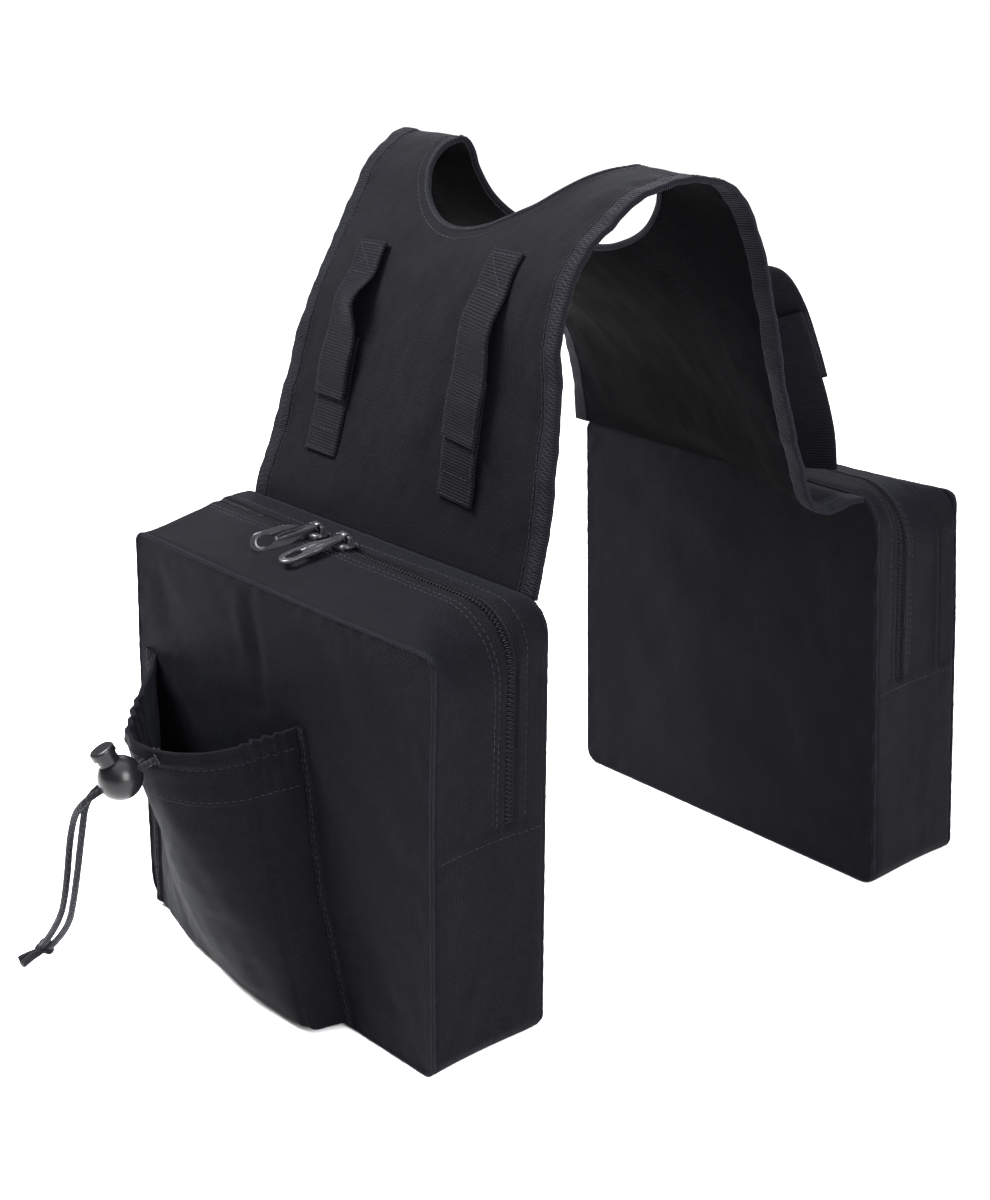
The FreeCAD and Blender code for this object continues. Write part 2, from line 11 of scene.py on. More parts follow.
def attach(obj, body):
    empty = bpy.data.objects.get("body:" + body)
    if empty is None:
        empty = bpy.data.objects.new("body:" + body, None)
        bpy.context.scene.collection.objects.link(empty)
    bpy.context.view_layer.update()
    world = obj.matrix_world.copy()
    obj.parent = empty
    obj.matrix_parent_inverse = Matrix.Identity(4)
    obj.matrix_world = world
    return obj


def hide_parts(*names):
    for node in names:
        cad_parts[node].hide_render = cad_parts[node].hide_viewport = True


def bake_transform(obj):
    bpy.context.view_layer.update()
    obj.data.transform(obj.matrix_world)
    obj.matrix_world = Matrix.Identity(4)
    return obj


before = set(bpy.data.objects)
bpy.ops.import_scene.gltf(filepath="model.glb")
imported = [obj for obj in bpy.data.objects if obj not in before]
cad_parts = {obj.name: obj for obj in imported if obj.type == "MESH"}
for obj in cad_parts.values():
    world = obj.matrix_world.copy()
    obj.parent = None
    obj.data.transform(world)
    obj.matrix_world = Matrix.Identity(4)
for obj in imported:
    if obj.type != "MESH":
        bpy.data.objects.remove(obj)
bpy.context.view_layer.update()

MM = 0.001
SIDES = {"near": -1, "far": 1}
TURN = 2 * math.pi


# ------------------------------------------------------------------ stage

LENS = 62.4
CAMERA_AXES = (0.6674, 0.7446, 0.0049), (-0.2602, 0.2270, 0.9385), (0.6977, -0.6277, 0.3453)
CAMERA_PLACE = (0.7349, -0.7050, 0.5310)
FLOOR_REACH, FLOOR_DROP = 9000, 0.4
WORLD_STRENGTH, SKY_STRENGTH, SKY_ANGLE, SKY_WAY = 0.2, 3.1, 75, (-0.30, 0.02, -1.0)
LAMPS = {                                        # place, target, size and power
    "key": ((-0.55, -0.52, 1.1), (-0.05, -0.05, 0.3), (0.5, 0.5), 56),
    "right": ((1.7, -0.2, 0.9), (0, 0, 0.2), (0.9, 1.2), 84),
    "top": ((0.0, 0.2, 1.9), (0, 0, 0.2), (1.4, 1.4), 9),
    "back": ((-1.25, 1.15, 1.15), (0, 0, 0.38), (0.9, 0.7), 14)}


def make_stage():
    """Camera at the photograph's view, a pale floor and backdrop, and soft studio light."""
    scene = bpy.context.scene
    scene.view_settings.view_transform = "Standard"
    data = bpy.data.cameras.new("camera")
    data.lens, data.sensor_width = LENS, 36
    data.clip_end = 50
    camera = bpy.data.objects.new("camera", data)
    place = Matrix(CAMERA_AXES).transposed().to_4x4()
    place.translation = CAMERA_PLACE
    camera.matrix_world = place
    scene.collection.objects.link(camera)
    scene.camera = camera

    world = bpy.data.worlds.new("studio")
    world.use_nodes = True
    world.node_tree.nodes["Background"].inputs["Color"].default_value = (1, 1, 1, 1)
    world.node_tree.nodes["Background"].inputs["Strength"].default_value = WORLD_STRENGTH
    scene.world = world

    ends = (-FLOOR_REACH, FLOOR_REACH)
    corners = [(x, y, -FLOOR_DROP) for y in ends for x in ends]
    floor = join("floor", [(corners, [(0, 1, 3, 2)])], plain("floor", (0.93, 0.93, 0.935), 0.7))

    def hang(light, way):
        lamp = bpy.data.objects.new(light.name, light)
        lamp.rotation_euler = Vector(way).to_track_quat("-Z", "Y").to_euler()
        scene.collection.objects.link(lamp)
        return lamp

    sky = bpy.data.lights.new("sky", "SUN")
    sky.energy, sky.angle = SKY_STRENGTH, math.radians(SKY_ANGLE)
    hang(sky, SKY_WAY)
    for name, (place, target, size, power) in LAMPS.items():
        light = bpy.data.lights.new(name, "AREA")
        light.shape, light.size, light.size_y = "RECTANGLE", *size
        light.energy = power
        hang(light, Vector(target) - Vector(place)).location = place


# ------------------------------------------------------------------ meshes

def mesh_object(name, verts, faces, uvs):
    """A smooth-shaded object from vertices and texture coordinates in millimetres."""
    mesh = bpy.data.meshes.new(name)
    mesh.from_pydata((np.asarray(verts, float) * MM).tolist(), [], [list(map(int, f)) for f in faces])
    layer = mesh.uv_layers.new(name="UVMap")
    loops = np.empty(len(mesh.loops), dtype=np.int32)
    mesh.loops.foreach_get("vertex_index", loops)
    layer.data.foreach_set("uv", (np.asarray(uvs, float) * MM)[loops].ravel())
    mesh.shade_smooth()
    mesh.update()
    obj = bpy.data.objects.new(name, mesh)
    bpy.context.scene.collection.objects.link(obj)
    return obj


def grid_faces(rows, cols, wrap_rows=False, wrap_cols=False, keep=None, flip=False):
    """Quads of a rows x cols grid of vertices."""
    faces = []
    for i in range(rows if wrap_rows else rows - 1):
        for j in range(cols if wrap_cols else cols - 1):
            if keep is not None and not keep[i, j]:
                continue
            a, b = i * cols + j, i * cols + (j + 1) % cols
            c, d = ((i + 1) % rows) * cols + (j + 1) % cols, ((i + 1) % rows) * cols + j
            faces.append((a, d, c, b) if flip else (a, b, c, d))
    return faces


def tube_faces(rows, cols, start=0):
    """Faces of a tube made of rings of vertices, with both ends capped."""
    faces = grid_faces(rows, cols, wrap_cols=True)
    faces += [tuple(range(cols)), tuple(range((rows - 1) * cols, rows * cols))[::-1]]
    return [tuple(start + i for i in face) for face in faces]


def grid_part(points, uvs, **kw):
    """Verts, faces and texture coordinates of a grid of points, for join."""
    return points.reshape(-1, 3), grid_faces(*points.shape[:2], **kw), uvs.reshape(-1, 2)


def join(name, parts, material=None):
    """One object from several meshes given as (verts, faces) or (verts, faces, uvs)."""
    verts, faces, uvs, start = [], [], [], 0
    for part in parts:
        verts.append(np.asarray(part[0], float))
        faces += [tuple(int(i) + start for i in face) for face in part[1]]
        uvs.append(np.asarray(part[2], float) if len(part) > 2 else np.asarray(part[0], float)[:, :2])
        start += len(part[0])
    obj = mesh_object(name, np.concatenate(verts), faces, np.concatenate(uvs))
    if material:
        obj.data.materials.append(material)
    return obj


def unit(v):
    """Vectors made one long."""
    v = np.asarray(v, float)
    return v / np.maximum(np.linalg.norm(v, axis=-1, keepdims=True), 1e-9)


def smooth_noise(points, scale, seed=0, octaves=3):
    """Smooth repeatable noise, about -1 to 1, from sums of waves in fixed random directions."""
    points = np.asarray(points, float)
    source = np.random.default_rng(100 + seed)
    total, weight = np.zeros(points.shape[:-1]), 0.0
    for octave in range(octaves):
        amount, wavelength = 0.55 ** octave, scale / 1.9 ** octave
        for _ in range(7):
            way = unit(source.normal(size=3)) * (TURN / wavelength) * source.uniform(0.7, 1.3)
            total += amount * np.sin(points @ way + source.uniform(0, 6.28))
        weight += amount * 2.6
    return total / weight


def lengths(points):
    """How far along a line each of its points is."""
    return np.concatenate([[0], np.cumsum(np.linalg.norm(np.diff(points, axis=0), axis=1))])


def at_length(s, along, line):
    """The value of each column of a line at length s, or at each of several lengths."""
    return np.stack([np.interp(s, along, line[:, k]) for k in range(line.shape[1])], axis=-1)


def spread(line, count):
    """Points spread evenly by length along a line."""
    along = lengths(line)
    return at_length(np.linspace(0, along[-1], count), along, line)


def grid_uvs(rows, cols, shape):
    """Texture coordinates of a grid, from values that broadcast down its rows and along its columns."""
    return np.stack([np.broadcast_to(rows, shape), np.broadcast_to(cols, shape)], axis=-1)


def round_angles(count):
    """Angles once round a circle."""
    return np.linspace(0, TURN, count + 1)[:-1]


def step(a, b, x):
    """Smooth step from 0 at a to 1 at b."""
    t = np.clip((np.asarray(x, float) - a) / (b - a), 0, 1)
    return t * t * (3 - 2 * t)


def bell(x, middle, width):
    """A smooth hump of height 1."""
    return np.exp(-((x - middle) / width) ** 2)


def spline(points, count):
    """Points spread evenly by length along a Catmull-Rom curve through the given ones."""
    p = np.asarray(points, float)
    p = np.concatenate([[2 * p[0] - p[1]], p, [2 * p[-1] - p[-2]]])
    fine = []
    for i in range(1, len(p) - 2):
        for t in np.linspace(0, 1, 24, endpoint=False):
            a, b, c, d = p[i - 1], p[i], p[i + 1], p[i + 2]
            fine.append(0.5 * (2 * b + (c - a) * t + (2 * a - 5 * b + 4 * c - d) * t * t
                               + (3 * b - a - 3 * c + d) * t ** 3))
    return spread(np.array(fine + [p[-2]]), count)


def ring_of(centre, side, up, count):
    """Points round a centre, whose section has side and up as its two half axes."""
    angles = round_angles(count)[:, None]
    return centre + side * np.cos(angles) + up * np.sin(angles)


def tube_mesh(path, radius, sides=8, closed=False, up=(0, 0, 1)):
    """Verts and faces of a tube along a path; radius may vary along it."""
    path = np.asarray(path, float)
    ahead = np.roll(path, -1, axis=0) - np.roll(path, 1, axis=0)
    if not closed:
        ahead[0], ahead[-1] = path[1] - path[0], path[-1] - path[-2]
    ahead = unit(ahead)
    across = unit(np.cross(ahead, np.asarray(up, float)))
    lift = np.cross(across, ahead)
    radius = np.broadcast_to(radius, len(path))
    verts = [ring_of(at, r * a, r * b, sides) for at, r, a, b in zip(path, radius, across, lift)]
    size = len(path), sides
    faces = grid_faces(*size, wrap_rows=True, wrap_cols=True) if closed else tube_faces(*size)
    return np.concatenate(verts), faces


STITCH = [(-0.5, 0.25, 0.12), (-0.3, 0.9, 0), (0.3, 0.9, 0), (0.5, 0.25, 0.12)]    # place, width and dip
STITCH_SIDES = 6


def stitch_mesh(points, normals, length=2.7, gap=0.9, width=0.62, tilt=0.0):
    """A row of thread stitches along a line, lying on a surface with the given normals."""
    points, normals = np.asarray(points, float), unit(normals)
    along = lengths(points)
    verts, faces = [], []
    for start in np.arange(0.4, along[-1] - length, length + gap):
        middle = start + length / 2
        at = at_length(middle, along, points)
        ahead = unit(at_length(middle + 0.6, along, points) - at_length(middle - 0.6, along, points))
        up = unit(at_length(middle, along, normals))
        side = unit(np.cross(up, ahead))
        way = unit(ahead + side * tilt)
        side = unit(np.cross(up, way))
        faces += tube_faces(len(STITCH), STITCH_SIDES, len(verts) * STITCH_SIDES)
        for share, fat, dip in STITCH:
            half = width / 2 * fat
            centre = at + way * share * length - up * dip
            verts.append(ring_of(centre, side * half, up * 0.8 * half, STITCH_SIDES))
    return np.concatenate(verts), faces


# ------------------------------------------------------------------ materials

def plain(name, color, rough):
    """A material of one colour and roughness."""
    material = bpy.data.materials.new(name)
    material.use_nodes = True
    shader = material.node_tree.nodes["Principled BSDF"]
    shader.inputs["Base Color"].default_value = (*color, 1)
    shader.inputs["Roughness"].default_value = rough
    return material


class Nodes:
    """Short ways to add and link shader nodes."""

    def __init__(self, material):
        self.tree = material.node_tree
        self.shader = self.tree.nodes["Principled BSDF"]
        self.places = self.add("ShaderNodeTexCoord").outputs

    def add(self, kind, **settings):
        node = self.tree.nodes.new(kind)
        for key, value in settings.items():
            if hasattr(node, key):
                setattr(node, key, value)
            else:
                node.inputs[key].default_value = value
        return node

    def link(self, a, b):
        self.tree.links.new(a, b)

    def math(self, kind, a, b=None):
        node = self.tree.nodes.new("ShaderNodeMath")
        node.operation = kind
        for socket, value in zip(node.inputs, (a, b)):
            if isinstance(value, (int, float)):
                socket.default_value = value
            elif value is not None:
                self.link(value, socket)
        return node.outputs[0]

    def noise(self, scale, detail=3.0, rough=0.5):
        """Noise over the object's own coordinates."""
        texture = self.add("ShaderNodeTexNoise", Scale=scale, Detail=detail, Roughness=rough)
        self.link(self.places["Object"], texture.inputs["Vector"])
        return texture.outputs["Fac"]

    def tint(self, value, color, dark, light, start=0.0, end=1.0):
        """A base colour that goes from a darker to a lighter shade with a value."""
        ramp = self.add("ShaderNodeValToRGB")
        for stop, shade, place in zip(ramp.color_ramp.elements, (dark, light), (start, end)):
            stop.color, stop.position = (*[min(1, c * shade) for c in color], 1), place
        self.link(value, ramp.inputs["Fac"])
        self.link(ramp.outputs["Color"], self.shader.inputs["Base Color"])

    def gloss(self, value, low, high):
        """A roughness that goes from low to high with a value."""
        node = self.add("ShaderNodeMapRange")
        node.inputs["To Min"].default_value, node.inputs["To Max"].default_value = low, high
        self.link(value, node.inputs["Value"])
        self.link(node.outputs["Result"], self.shader.inputs["Roughness"])

    def bump(self, height, strength, distance):
        node = self.add("ShaderNodeBump", Strength=strength, Distance=distance)
        self.link(height, node.inputs["Height"])
        self.link(node.outputs["Normal"], self.shader.inputs["Normal"])


def weave(name, color, pitch, relief=0.35, rough=0.72, sheen=0.25, ribs=False, mottle=0.35, coords="UV",
          gleam=0.04):
    """Woven cloth: crossed or ribbed yarns as bump and tone, uneven dye and dust, and a soft sheen."""
    material = plain(name, color, rough)
    n = Nodes(material)
    waves = []
    for direction in ("X", "Y"):
        wave = n.add("ShaderNodeTexWave", wave_type="BANDS", bands_direction=direction, wave_profile="SIN",
                     Scale=0.314 / (pitch * MM), Distortion=1.4, Detail=1.0)
        wave.inputs["Detail Scale"].default_value = 1.5
        n.link(n.places[coords], wave.inputs["Vector"])
        waves.append(wave.outputs["Fac"])
    yarn = waves[0] if ribs else n.math("MULTIPLY", waves[0], waves[1])
    fine, broad, slub = n.noise(900.0, 2.0), n.noise(16.0, 4.0, 0.6), n.noise(140.0)
    tone = n.math("ADD", n.math("MULTIPLY", yarn, 0.55), n.math("MULTIPLY", broad, mottle))
    tone = n.math("ADD", tone, n.math("MULTIPLY", slub, 0.35))
    n.tint(tone, color, 0.55, 1.75, 0.15, 0.95)
    n.gloss(tone, rough + 0.1, rough - 0.12)
    n.bump(n.math("ADD", n.math("MULTIPLY", yarn, 0.8), n.math("MULTIPLY", fine, 0.35)), relief, 0.0006)
    n.shader.inputs["Sheen Weight"].default_value = sheen
    n.shader.inputs["Sheen Roughness"].default_value = 0.45
    n.shader.inputs["Sheen Tint"].default_value = (0.72, 0.78, 0.95, 1)
    n.shader.inputs["Specular IOR Level"].default_value = gleam
    return material


def hard(name, color, rough, metallic=0.0, grain=0.06, scale=260.0, gleam=0.5):
    """Painted metal or moulded plastic with fine grain and slight wear in its gloss."""
    material = plain(name, color, rough)
    n = Nodes(material)
    n.shader.inputs["Metallic"].default_value = metallic
    n.shader.inputs["Specular IOR Level"].default_value = gleam
    fine, broad = n.noise(scale), n.noise(60.0)
    n.gloss(broad, rough - 0.1, rough + 0.14)
    n.tint(fine, color, 0.75, 1.3)
    n.bump(fine, grain, 0.0003)
    return material


OXFORD = weave("black_oxford", (0.0013, 0.0013, 0.0022), 0.95, relief=0.5, sheen=0.014)
LINING = weave("yoke_lining", (0.0006, 0.0006, 0.0009), 0.95, relief=0.35, rough=0.88, sheen=0.002,
               gleam=0.02)
BINDING = weave("black_binding", (0.0020, 0.0020, 0.0032), 1.3, relief=0.55, ribs=True, sheen=0.02)
WEBBING = weave("black_webbing", (0.0014, 0.0014, 0.0023), 1.5, relief=0.6, ribs=True, sheen=0.014)
PILE = weave("hook_and_loop", (0.0024, 0.0024, 0.0028), 0.7, relief=0.9, rough=0.9, sheen=0.04)
TAPE = weave("zip_tape", (0.0024, 0.0024, 0.0030), 1.1, relief=0.5, ribs=True, rough=0.75, sheen=0.02)
CORD = weave("black_cord", (0.0055, 0.0055, 0.0065), 1.6, relief=0.9, rough=0.62, sheen=0.06, coords="Object")
THREAD = weave("black_thread", (0.0085, 0.0085, 0.0098), 0.5, relief=0.4, rough=0.55, sheen=0.05,
               coords="Object")
COIL_MAT = hard("zip_coil", (0.0012, 0.0012, 0.0018), 0.52, gleam=0.1)
METAL = hard("black_painted_metal", (0.026, 0.026, 0.03), 0.27, metallic=0.5, gleam=0.3)
PLASTIC = hard("black_plastic", (0.0035, 0.0035, 0.0046), 0.3, grain=0.12, gleam=0.22)
STEEL = hard("spring_steel", (0.55, 0.55, 0.57), 0.3, metallic=1.0)


def dress(obj, body, nodes=()):
    """The usual ending for a piece: its body and the CAD nodes it replaces."""
    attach(obj, body)
    if nodes:
        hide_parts(*nodes)
    return obj


# ------------------------------------------------------------------ cords and locks

LOCK = np.array((-14.2, -258.7, 129.8))
OUT = np.array((-0.4415, -0.7647, -0.4695))      # the cords' way out of the lock
ASIDE = np.array((0.8660, -0.5, 0.0))
RISE = np.array((-0.235, -0.409, 0.883))         # square to both
SPACING = 2.2
TAIL_A = [(-42, -270, 99), (-57, -266.5, 57), (-74, -262.5, 31), (-98, -259.6, 7.6)]
TAIL_B = [(-35, -268.5, 97), (-49, -266, 61), (-70, -260, 27.5), (-98, -256.4, 5.2)]
KNOT = np.array((-98, -258, 6.3))
CORD_ENDS = [(-96.5, -272, 2.6), (-101.5, -271, 2.6)]
CORD_WIDTH = 3.4
KNOT_POINTS, KNOT_SIZE = 14, 1.32


def mirrored(points, side):
    """Points given for the near pannier, on either side."""
    points = np.array(points, float)
    points[..., 1] *= -SIDES[side]
    return points


def nurbs(name, points, width, material):
    """A round NURBS cord through control points in millimetres."""
    curve = bpy.data.curves.new(name, "CURVE")
    curve.dimensions = "3D"
    curve.bevel_depth, curve.bevel_resolution = width / 2 * MM, 4
    curve.resolution_u, curve.use_fill_caps = 12, True
    line = curve.splines.new("NURBS")
    line.points.add(len(points) - 1)
    for point, place in zip(line.points, points):
        point.co = (*(np.array(place) * MM), 1)
    line.order_u = 3
    line.use_endpoint_u = True
    curve.materials.append(material)
    obj = bpy.data.objects.new(name, curve)
    bpy.context.scene.collection.objects.link(obj)
    return obj


def by_lock(reach, sign, apart=1.0):
    """A place on one of the two cords, a length out from the lock's middle."""
    return LOCK + OUT * reach + ASIDE * SPACING * sign * apart


def make_knot(side):
    """The two tails' knot and the two ends that stick out of it."""
    t = round_angles(KNOT_POINTS)
    loops = KNOT_SIZE * np.stack([np.sin(t) + 2 * np.sin(2 * t), np.cos(t) - 2 * np.cos(2 * t),
                                  -1.15 * np.sin(3 * t)], axis=1)
    turn = np.array(Matrix.Rotation(0.9, 3, "Y") @ Matrix.Rotation(0.6, 3, "X"))
    loops = mirrored(loops @ turn.T * (1, 1, 0.78) + KNOT + (0, 0, 0.4), side)
    knot = nurbs(f"{side}_knot", list(loops), CORD_WIDTH, CORD)
    knot.data.splines[0].use_endpoint_u = False
    knot.data.splines[0].use_cyclic_u = True
    ends = []
    for index, end in enumerate(CORD_ENDS):
        end = np.array(end, float)
        points = mirrored([KNOT + (0, -3, -1.2), KNOT * 0.45 + end * 0.55 + (0, 0, 0.6), end], side)
        piece = nurbs(f"{side}_cut_end_{index}", points, CORD_WIDTH * 1.12, CORD)
        ends.append(dress(piece, f"{side}_lock"))
    dress(knot, f"{side}_lock", [f"{side}_cord_knot"])
    return [knot, *ends]


def make_cords(side):
    """The drawstring's tails, the lock's materials, and the strands from the pocket's hem to the lock."""
    tied = make_knot(side)
    for name, sign, corner, route in (("a", 1, 20.3, TAIL_A), ("b", -1, 17.5, TAIL_B)):
        points = mirrored([by_lock(9.3, sign), by_lock(corner, sign)] + route, side)
        tail = nurbs(f"{side}_tail_{name}", points, CORD_WIDTH, CORD)
        dress(tail, f"{side}_lock", [f"{side}_cord_tail_{name}"])
    for node, material in (("lock_ball", PLASTIC), ("lock_plunger", PLASTIC), ("lock_spring", STEEL)):
        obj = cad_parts[f"{side}_{node}"]
        obj.data.materials.clear()
        obj.data.materials.append(material)
    strands = []
    for sign in (-1, 1):
        line = [by_lock(-21.5, sign, 1.6), by_lock(-16, sign, 1.1), by_lock(-8, sign), by_lock(8.8, sign)]
        strands.append(tube_mesh(mirrored(spline(line, 16), side), CORD_WIDTH / 2, 14))
    strands = join(f"{side}_drawstring_strands", strands, CORD)
    dress(strands, f"{side}_bag", [f"{side}_drawstring"])


# ------------------------------------------------------------------ panniers

WIDTH, DEPTH, HEIGHT, GAP = 230.0, 68.0, 215.0, 115.0
BOOT = 112.0
TOPSTITCH, REAR_STITCH, BOOT_STITCH = (28.4, 31.0), 12.6, BOOT - 4.2
FAR_SEAM = 52.0                                  # the far gusset's raised seam
ZIP_FROM, ZIP_TO, COIL = 18.0, 24.0, 21.0        # depths of the zip's groove and of its coil
COIL_LIFT, COIL_PITCH, COIL_SHIFT = 0.55, 1.12, 0.45


def corner_radius(a, b, d):
    """A corner is tight at the panels' seams and softer between them, most of all where the zip turns."""
    between = np.sin(np.clip((DEPTH - d) / DEPTH, 0, 1) ** 0.8 * math.pi) ** 0.8
    soft = np.where(b < 0, 2.5, np.where(a > 0, 31.0, 9.0))
    rear = np.where((b < 0) | (a < 0), 1.0, 9.0) * step(12, 0, d)
    return 6 + soft * between + rear + np.where((b < 0) & (a < 0), 10.0, 0.0) * step(2, 30, d)


def outline(a, b, d):
    """(x, z) on the pannier's section at depth d, from square coordinates a and b in -1..1."""
    m = np.maximum(np.maximum(np.abs(a), np.abs(b)), 1e-6)
    half_x, half_z, r = WIDTH / 2 * m, HEIGHT / 2 * m, corner_radius(a, b, d) * m ** 5
    x, z = a * WIDTH / 2, b * HEIGHT / 2
    inner_x, inner_z = np.clip(x, r - half_x, half_x - r), np.clip(z, r - half_z, half_z - r)
    dx, dz = x - inner_x, z - inner_z
    corner = (np.abs(dx) > 1e-6) & (np.abs(dz) > 1e-6)
    far = np.maximum(np.hypot(dx, dz), 1e-9)
    x = inner_x + np.where(corner, dx / far * r, dx)
    z = inner_z + np.where(corner, dz / far * r, dz)
    return x, z + HEIGHT / 2


def settle(x, d, z, side):
    """Where a point of the stiff box ends up once the cloth has sagged: [.., 3] in millimetres."""
    x, d, z = (np.asarray(v, float) for v in (x, d, z))
    top = step(120, 214, z)
    outer = np.clip((d - 22) / 46, 0, 1) ** 1.25
    dip = 9.5 * top * outer + 2.2 * top * outer * np.cos(x / 62)
    dip += 1.6 * step(150, 215, z) * np.cos(x / 36 + 1.0) * step(0, 8, d) * step(30, 12, d) * 0.5
    tall = np.sin(np.clip(z / HEIGHT, 0, 1) * math.pi)
    wide = np.cos(np.clip(x / 118, -1, 1) * math.pi / 2)
    belly = 3.2 * tall * wide
    hollow = -3.0 * step(125, 200, z) * wide
    y = GAP + d + (belly + hollow) * (d / DEPTH) ** 2 - 1.5 * top * (d / DEPTH)
    flank = 2.6 * tall * np.sin(np.clip(d / DEPTH, 0, 1) * math.pi)
    x = x * (1 - flank / 125)
    z = z - dip
    if side == "far":
        low = 1 - np.clip(z / HEIGHT, 0, 1)
        free = 1 - step(28, DEPTH, d) * step(112, 15, x)
        x = x + free * (8.0 + 11.0 * low - (0.075 - 0.035 * low) * x)
    return np.stack([x, SIDES[side] * y, z], axis=-1)


def drawn_in(x, z, inset):
    """Places on a panel, drawn in towards its middle from its seams."""
    middle = HEIGHT / 2
    return x * (1 - inset / (WIDTH / 2)), middle + (z - middle) * (1 - inset / middle)


CREASES = {                                      # ends in x and z, width and depth
    "front": [((-24, 206), (-6, 150), 4.5, 1.9), ((-34, 208), (-18, 168), 6, -1.2),
              ((-98, 205), (-88, 160), 8, 1.3), ((36, 196), (66, 150), 9, 1.1),
              ((62, 60), (92, 20), 9, 1.0), ((70, 120), (100, 100), 8, 0.8)],
    "back": [((-70, 180), (40, 120), 12, 1.2), ((-20, 90), (70, 40), 14, 1.0),
             ((60, 190), (90, 110), 9, 0.9)]}


def crease(x, z, a, b, width, depth):
    """A soft valley (or ridge, for a negative depth) along the segment a-b of a panel."""
    a, b = np.array(a, float), np.array(b, float)
    p = np.stack([np.asarray(x, float) - a[0], np.asarray(z, float) - a[1]], axis=-1)
    run = b - a
    t = np.clip((p @ run) / (run @ run), 0, 1)
    away = np.linalg.norm(p - t[..., None] * run, axis=-1)
    return -depth * np.exp(-(away / width) ** 2) * np.sin(np.clip(0.12 + 0.76 * t, 0, 1) * math.pi)


def edge_fade(x, z, reach=13.0):
    """0 on a panel's seams, 1 further in."""
    return step(0, reach, WIDTH / 2 - np.abs(x)) * step(0, reach, z) * step(0, reach, HEIGHT - z)


def panel_relief(x, z, side, face):
    """How far the cloth of a flat panel stands off its plane: slack, folds and small puckers at seams."""
    seed = (3 if side == "near" else 11) + (5 if face == "front" else 0)
    p = np.stack([x, z, np.zeros_like(x)], axis=-1)
    slack = 1.25 * smooth_noise(p, 90, seed, 3) * edge_fade(x, z, 30)
    fine = 0.22 * smooth_noise(p, 17, seed + 40, 2) * edge_fade(x, z, 8)
    puckers = 0.28 * smooth_noise(p, 9, seed + 60, 1) * edge_fade(x, z, 3) * (1 - edge_fade(x, z, 18))
    folds = sum(crease(x, z, *fold) for fold in CREASES[face])
    return slack + fine + puckers + edge_fade(x, z, 8) * folds


def gusset_relief(s, d, z, side):
    """The same for the gusset, at length s round it and depth d."""
    seed = 21 if side == "near" else 27
    p = np.stack([s, d, np.zeros_like(s)], axis=-1)
    fade = step(0, 7, d) * step(0, 7, DEPTH - d)
    rest = 0.55 * smooth_noise(p, 55, seed, 3) * fade + 0.14 * smooth_noise(p, 13, seed + 5, 2) * fade
    rest *= 1 - 0.85 * bell(d, COIL, 8)
    upper = step(BOOT - 1, BOOT + 1, z)
    recess = -1.7 * step(ZIP_FROM - 0.8, ZIP_FROM + 0.5, d) * step(ZIP_TO + 0.8, ZIP_TO - 0.5, d)
    lips = 0.35 * (bell(d, ZIP_FROM - 1.6, 1.3) + bell(d, ZIP_TO + 1.6, 1.3))
    topstitch = -0.3 * (bell(d, TOPSTITCH[0], 0.7) + bell(d, TOPSTITCH[1], 0.7))
    topstitch += -0.3 * bell(d, REAR_STITCH, 0.8)
    if side == "far":
        topstitch += 0.75 * bell(d, FAR_SEAM, 1.3) - 0.7 * bell(d, FAR_SEAM + 2.2, 0.9)
    boot = 0.7 * step(BOOT + 0.8, BOOT - 0.8, z) - 0.5 * bell(z, BOOT_STITCH, 0.9)
    return rest + upper * (recess + lips + topstitch) + boot * fade


COLS, ROWS = 84, 78


def border(count_a=COLS, count_b=ROWS):
    """Square coordinates once round the panel's border, clockwise from the top left."""
    a, b = np.linspace(-1, 1, count_a + 1), np.linspace(-1, 1, count_b + 1)
    ring = [(v, 1.0) for v in a[:-1]] + [(1.0, v) for v in b[::-1][:-1]]
    ring += [(v, -1.0) for v in a[::-1][:-1]] + [(-1.0, v) for v in b[:-1]]
    return np.array(ring)


def gusset_points(ring, depths, side, raise_by=None):
    """Points of the gusset on border places and depths, with outward directions and ring lengths."""
    a, b = ring[:, 0][:, None], ring[:, 1][:, None]
    d = np.broadcast_to(np.asarray(depths, float)[None, :], (len(ring), len(depths)))
    a, b = np.broadcast_to(a, d.shape), np.broadcast_to(b, d.shape)
    x, z = outline(a, b, d)
    middle_x, middle_z = outline(ring[:, 0], ring[:, 1], DEPTH / 2)
    s = np.broadcast_to(lengths(np.stack([middle_x, middle_z], axis=1))[:, None], d.shape)
    ahead_x = np.roll(x, -1, axis=0) - np.roll(x, 1, axis=0)
    ahead_z = np.roll(z, -1, axis=0) - np.roll(z, 1, axis=0)
    size = np.maximum(np.hypot(ahead_x, ahead_z), 1e-9)
    out_x, out_z = -ahead_z / size, ahead_x / size
    lift = gusset_relief(s, d, z, side)
    lift = lift - 1.5 * (step(2.6, 0, d) + step(DEPTH - 2.6, DEPTH, d))
    if raise_by is not None:
        lift = lift + raise_by
    lift = np.where(z < 8, np.minimum(lift, 0.0), lift)
    points = settle(x + out_x * lift, d, np.maximum(z + out_z * lift, 0.0), side)
    outward = np.stack([out_x, np.zeros_like(out_x), out_z], axis=-1)
    return points, outward, s, z


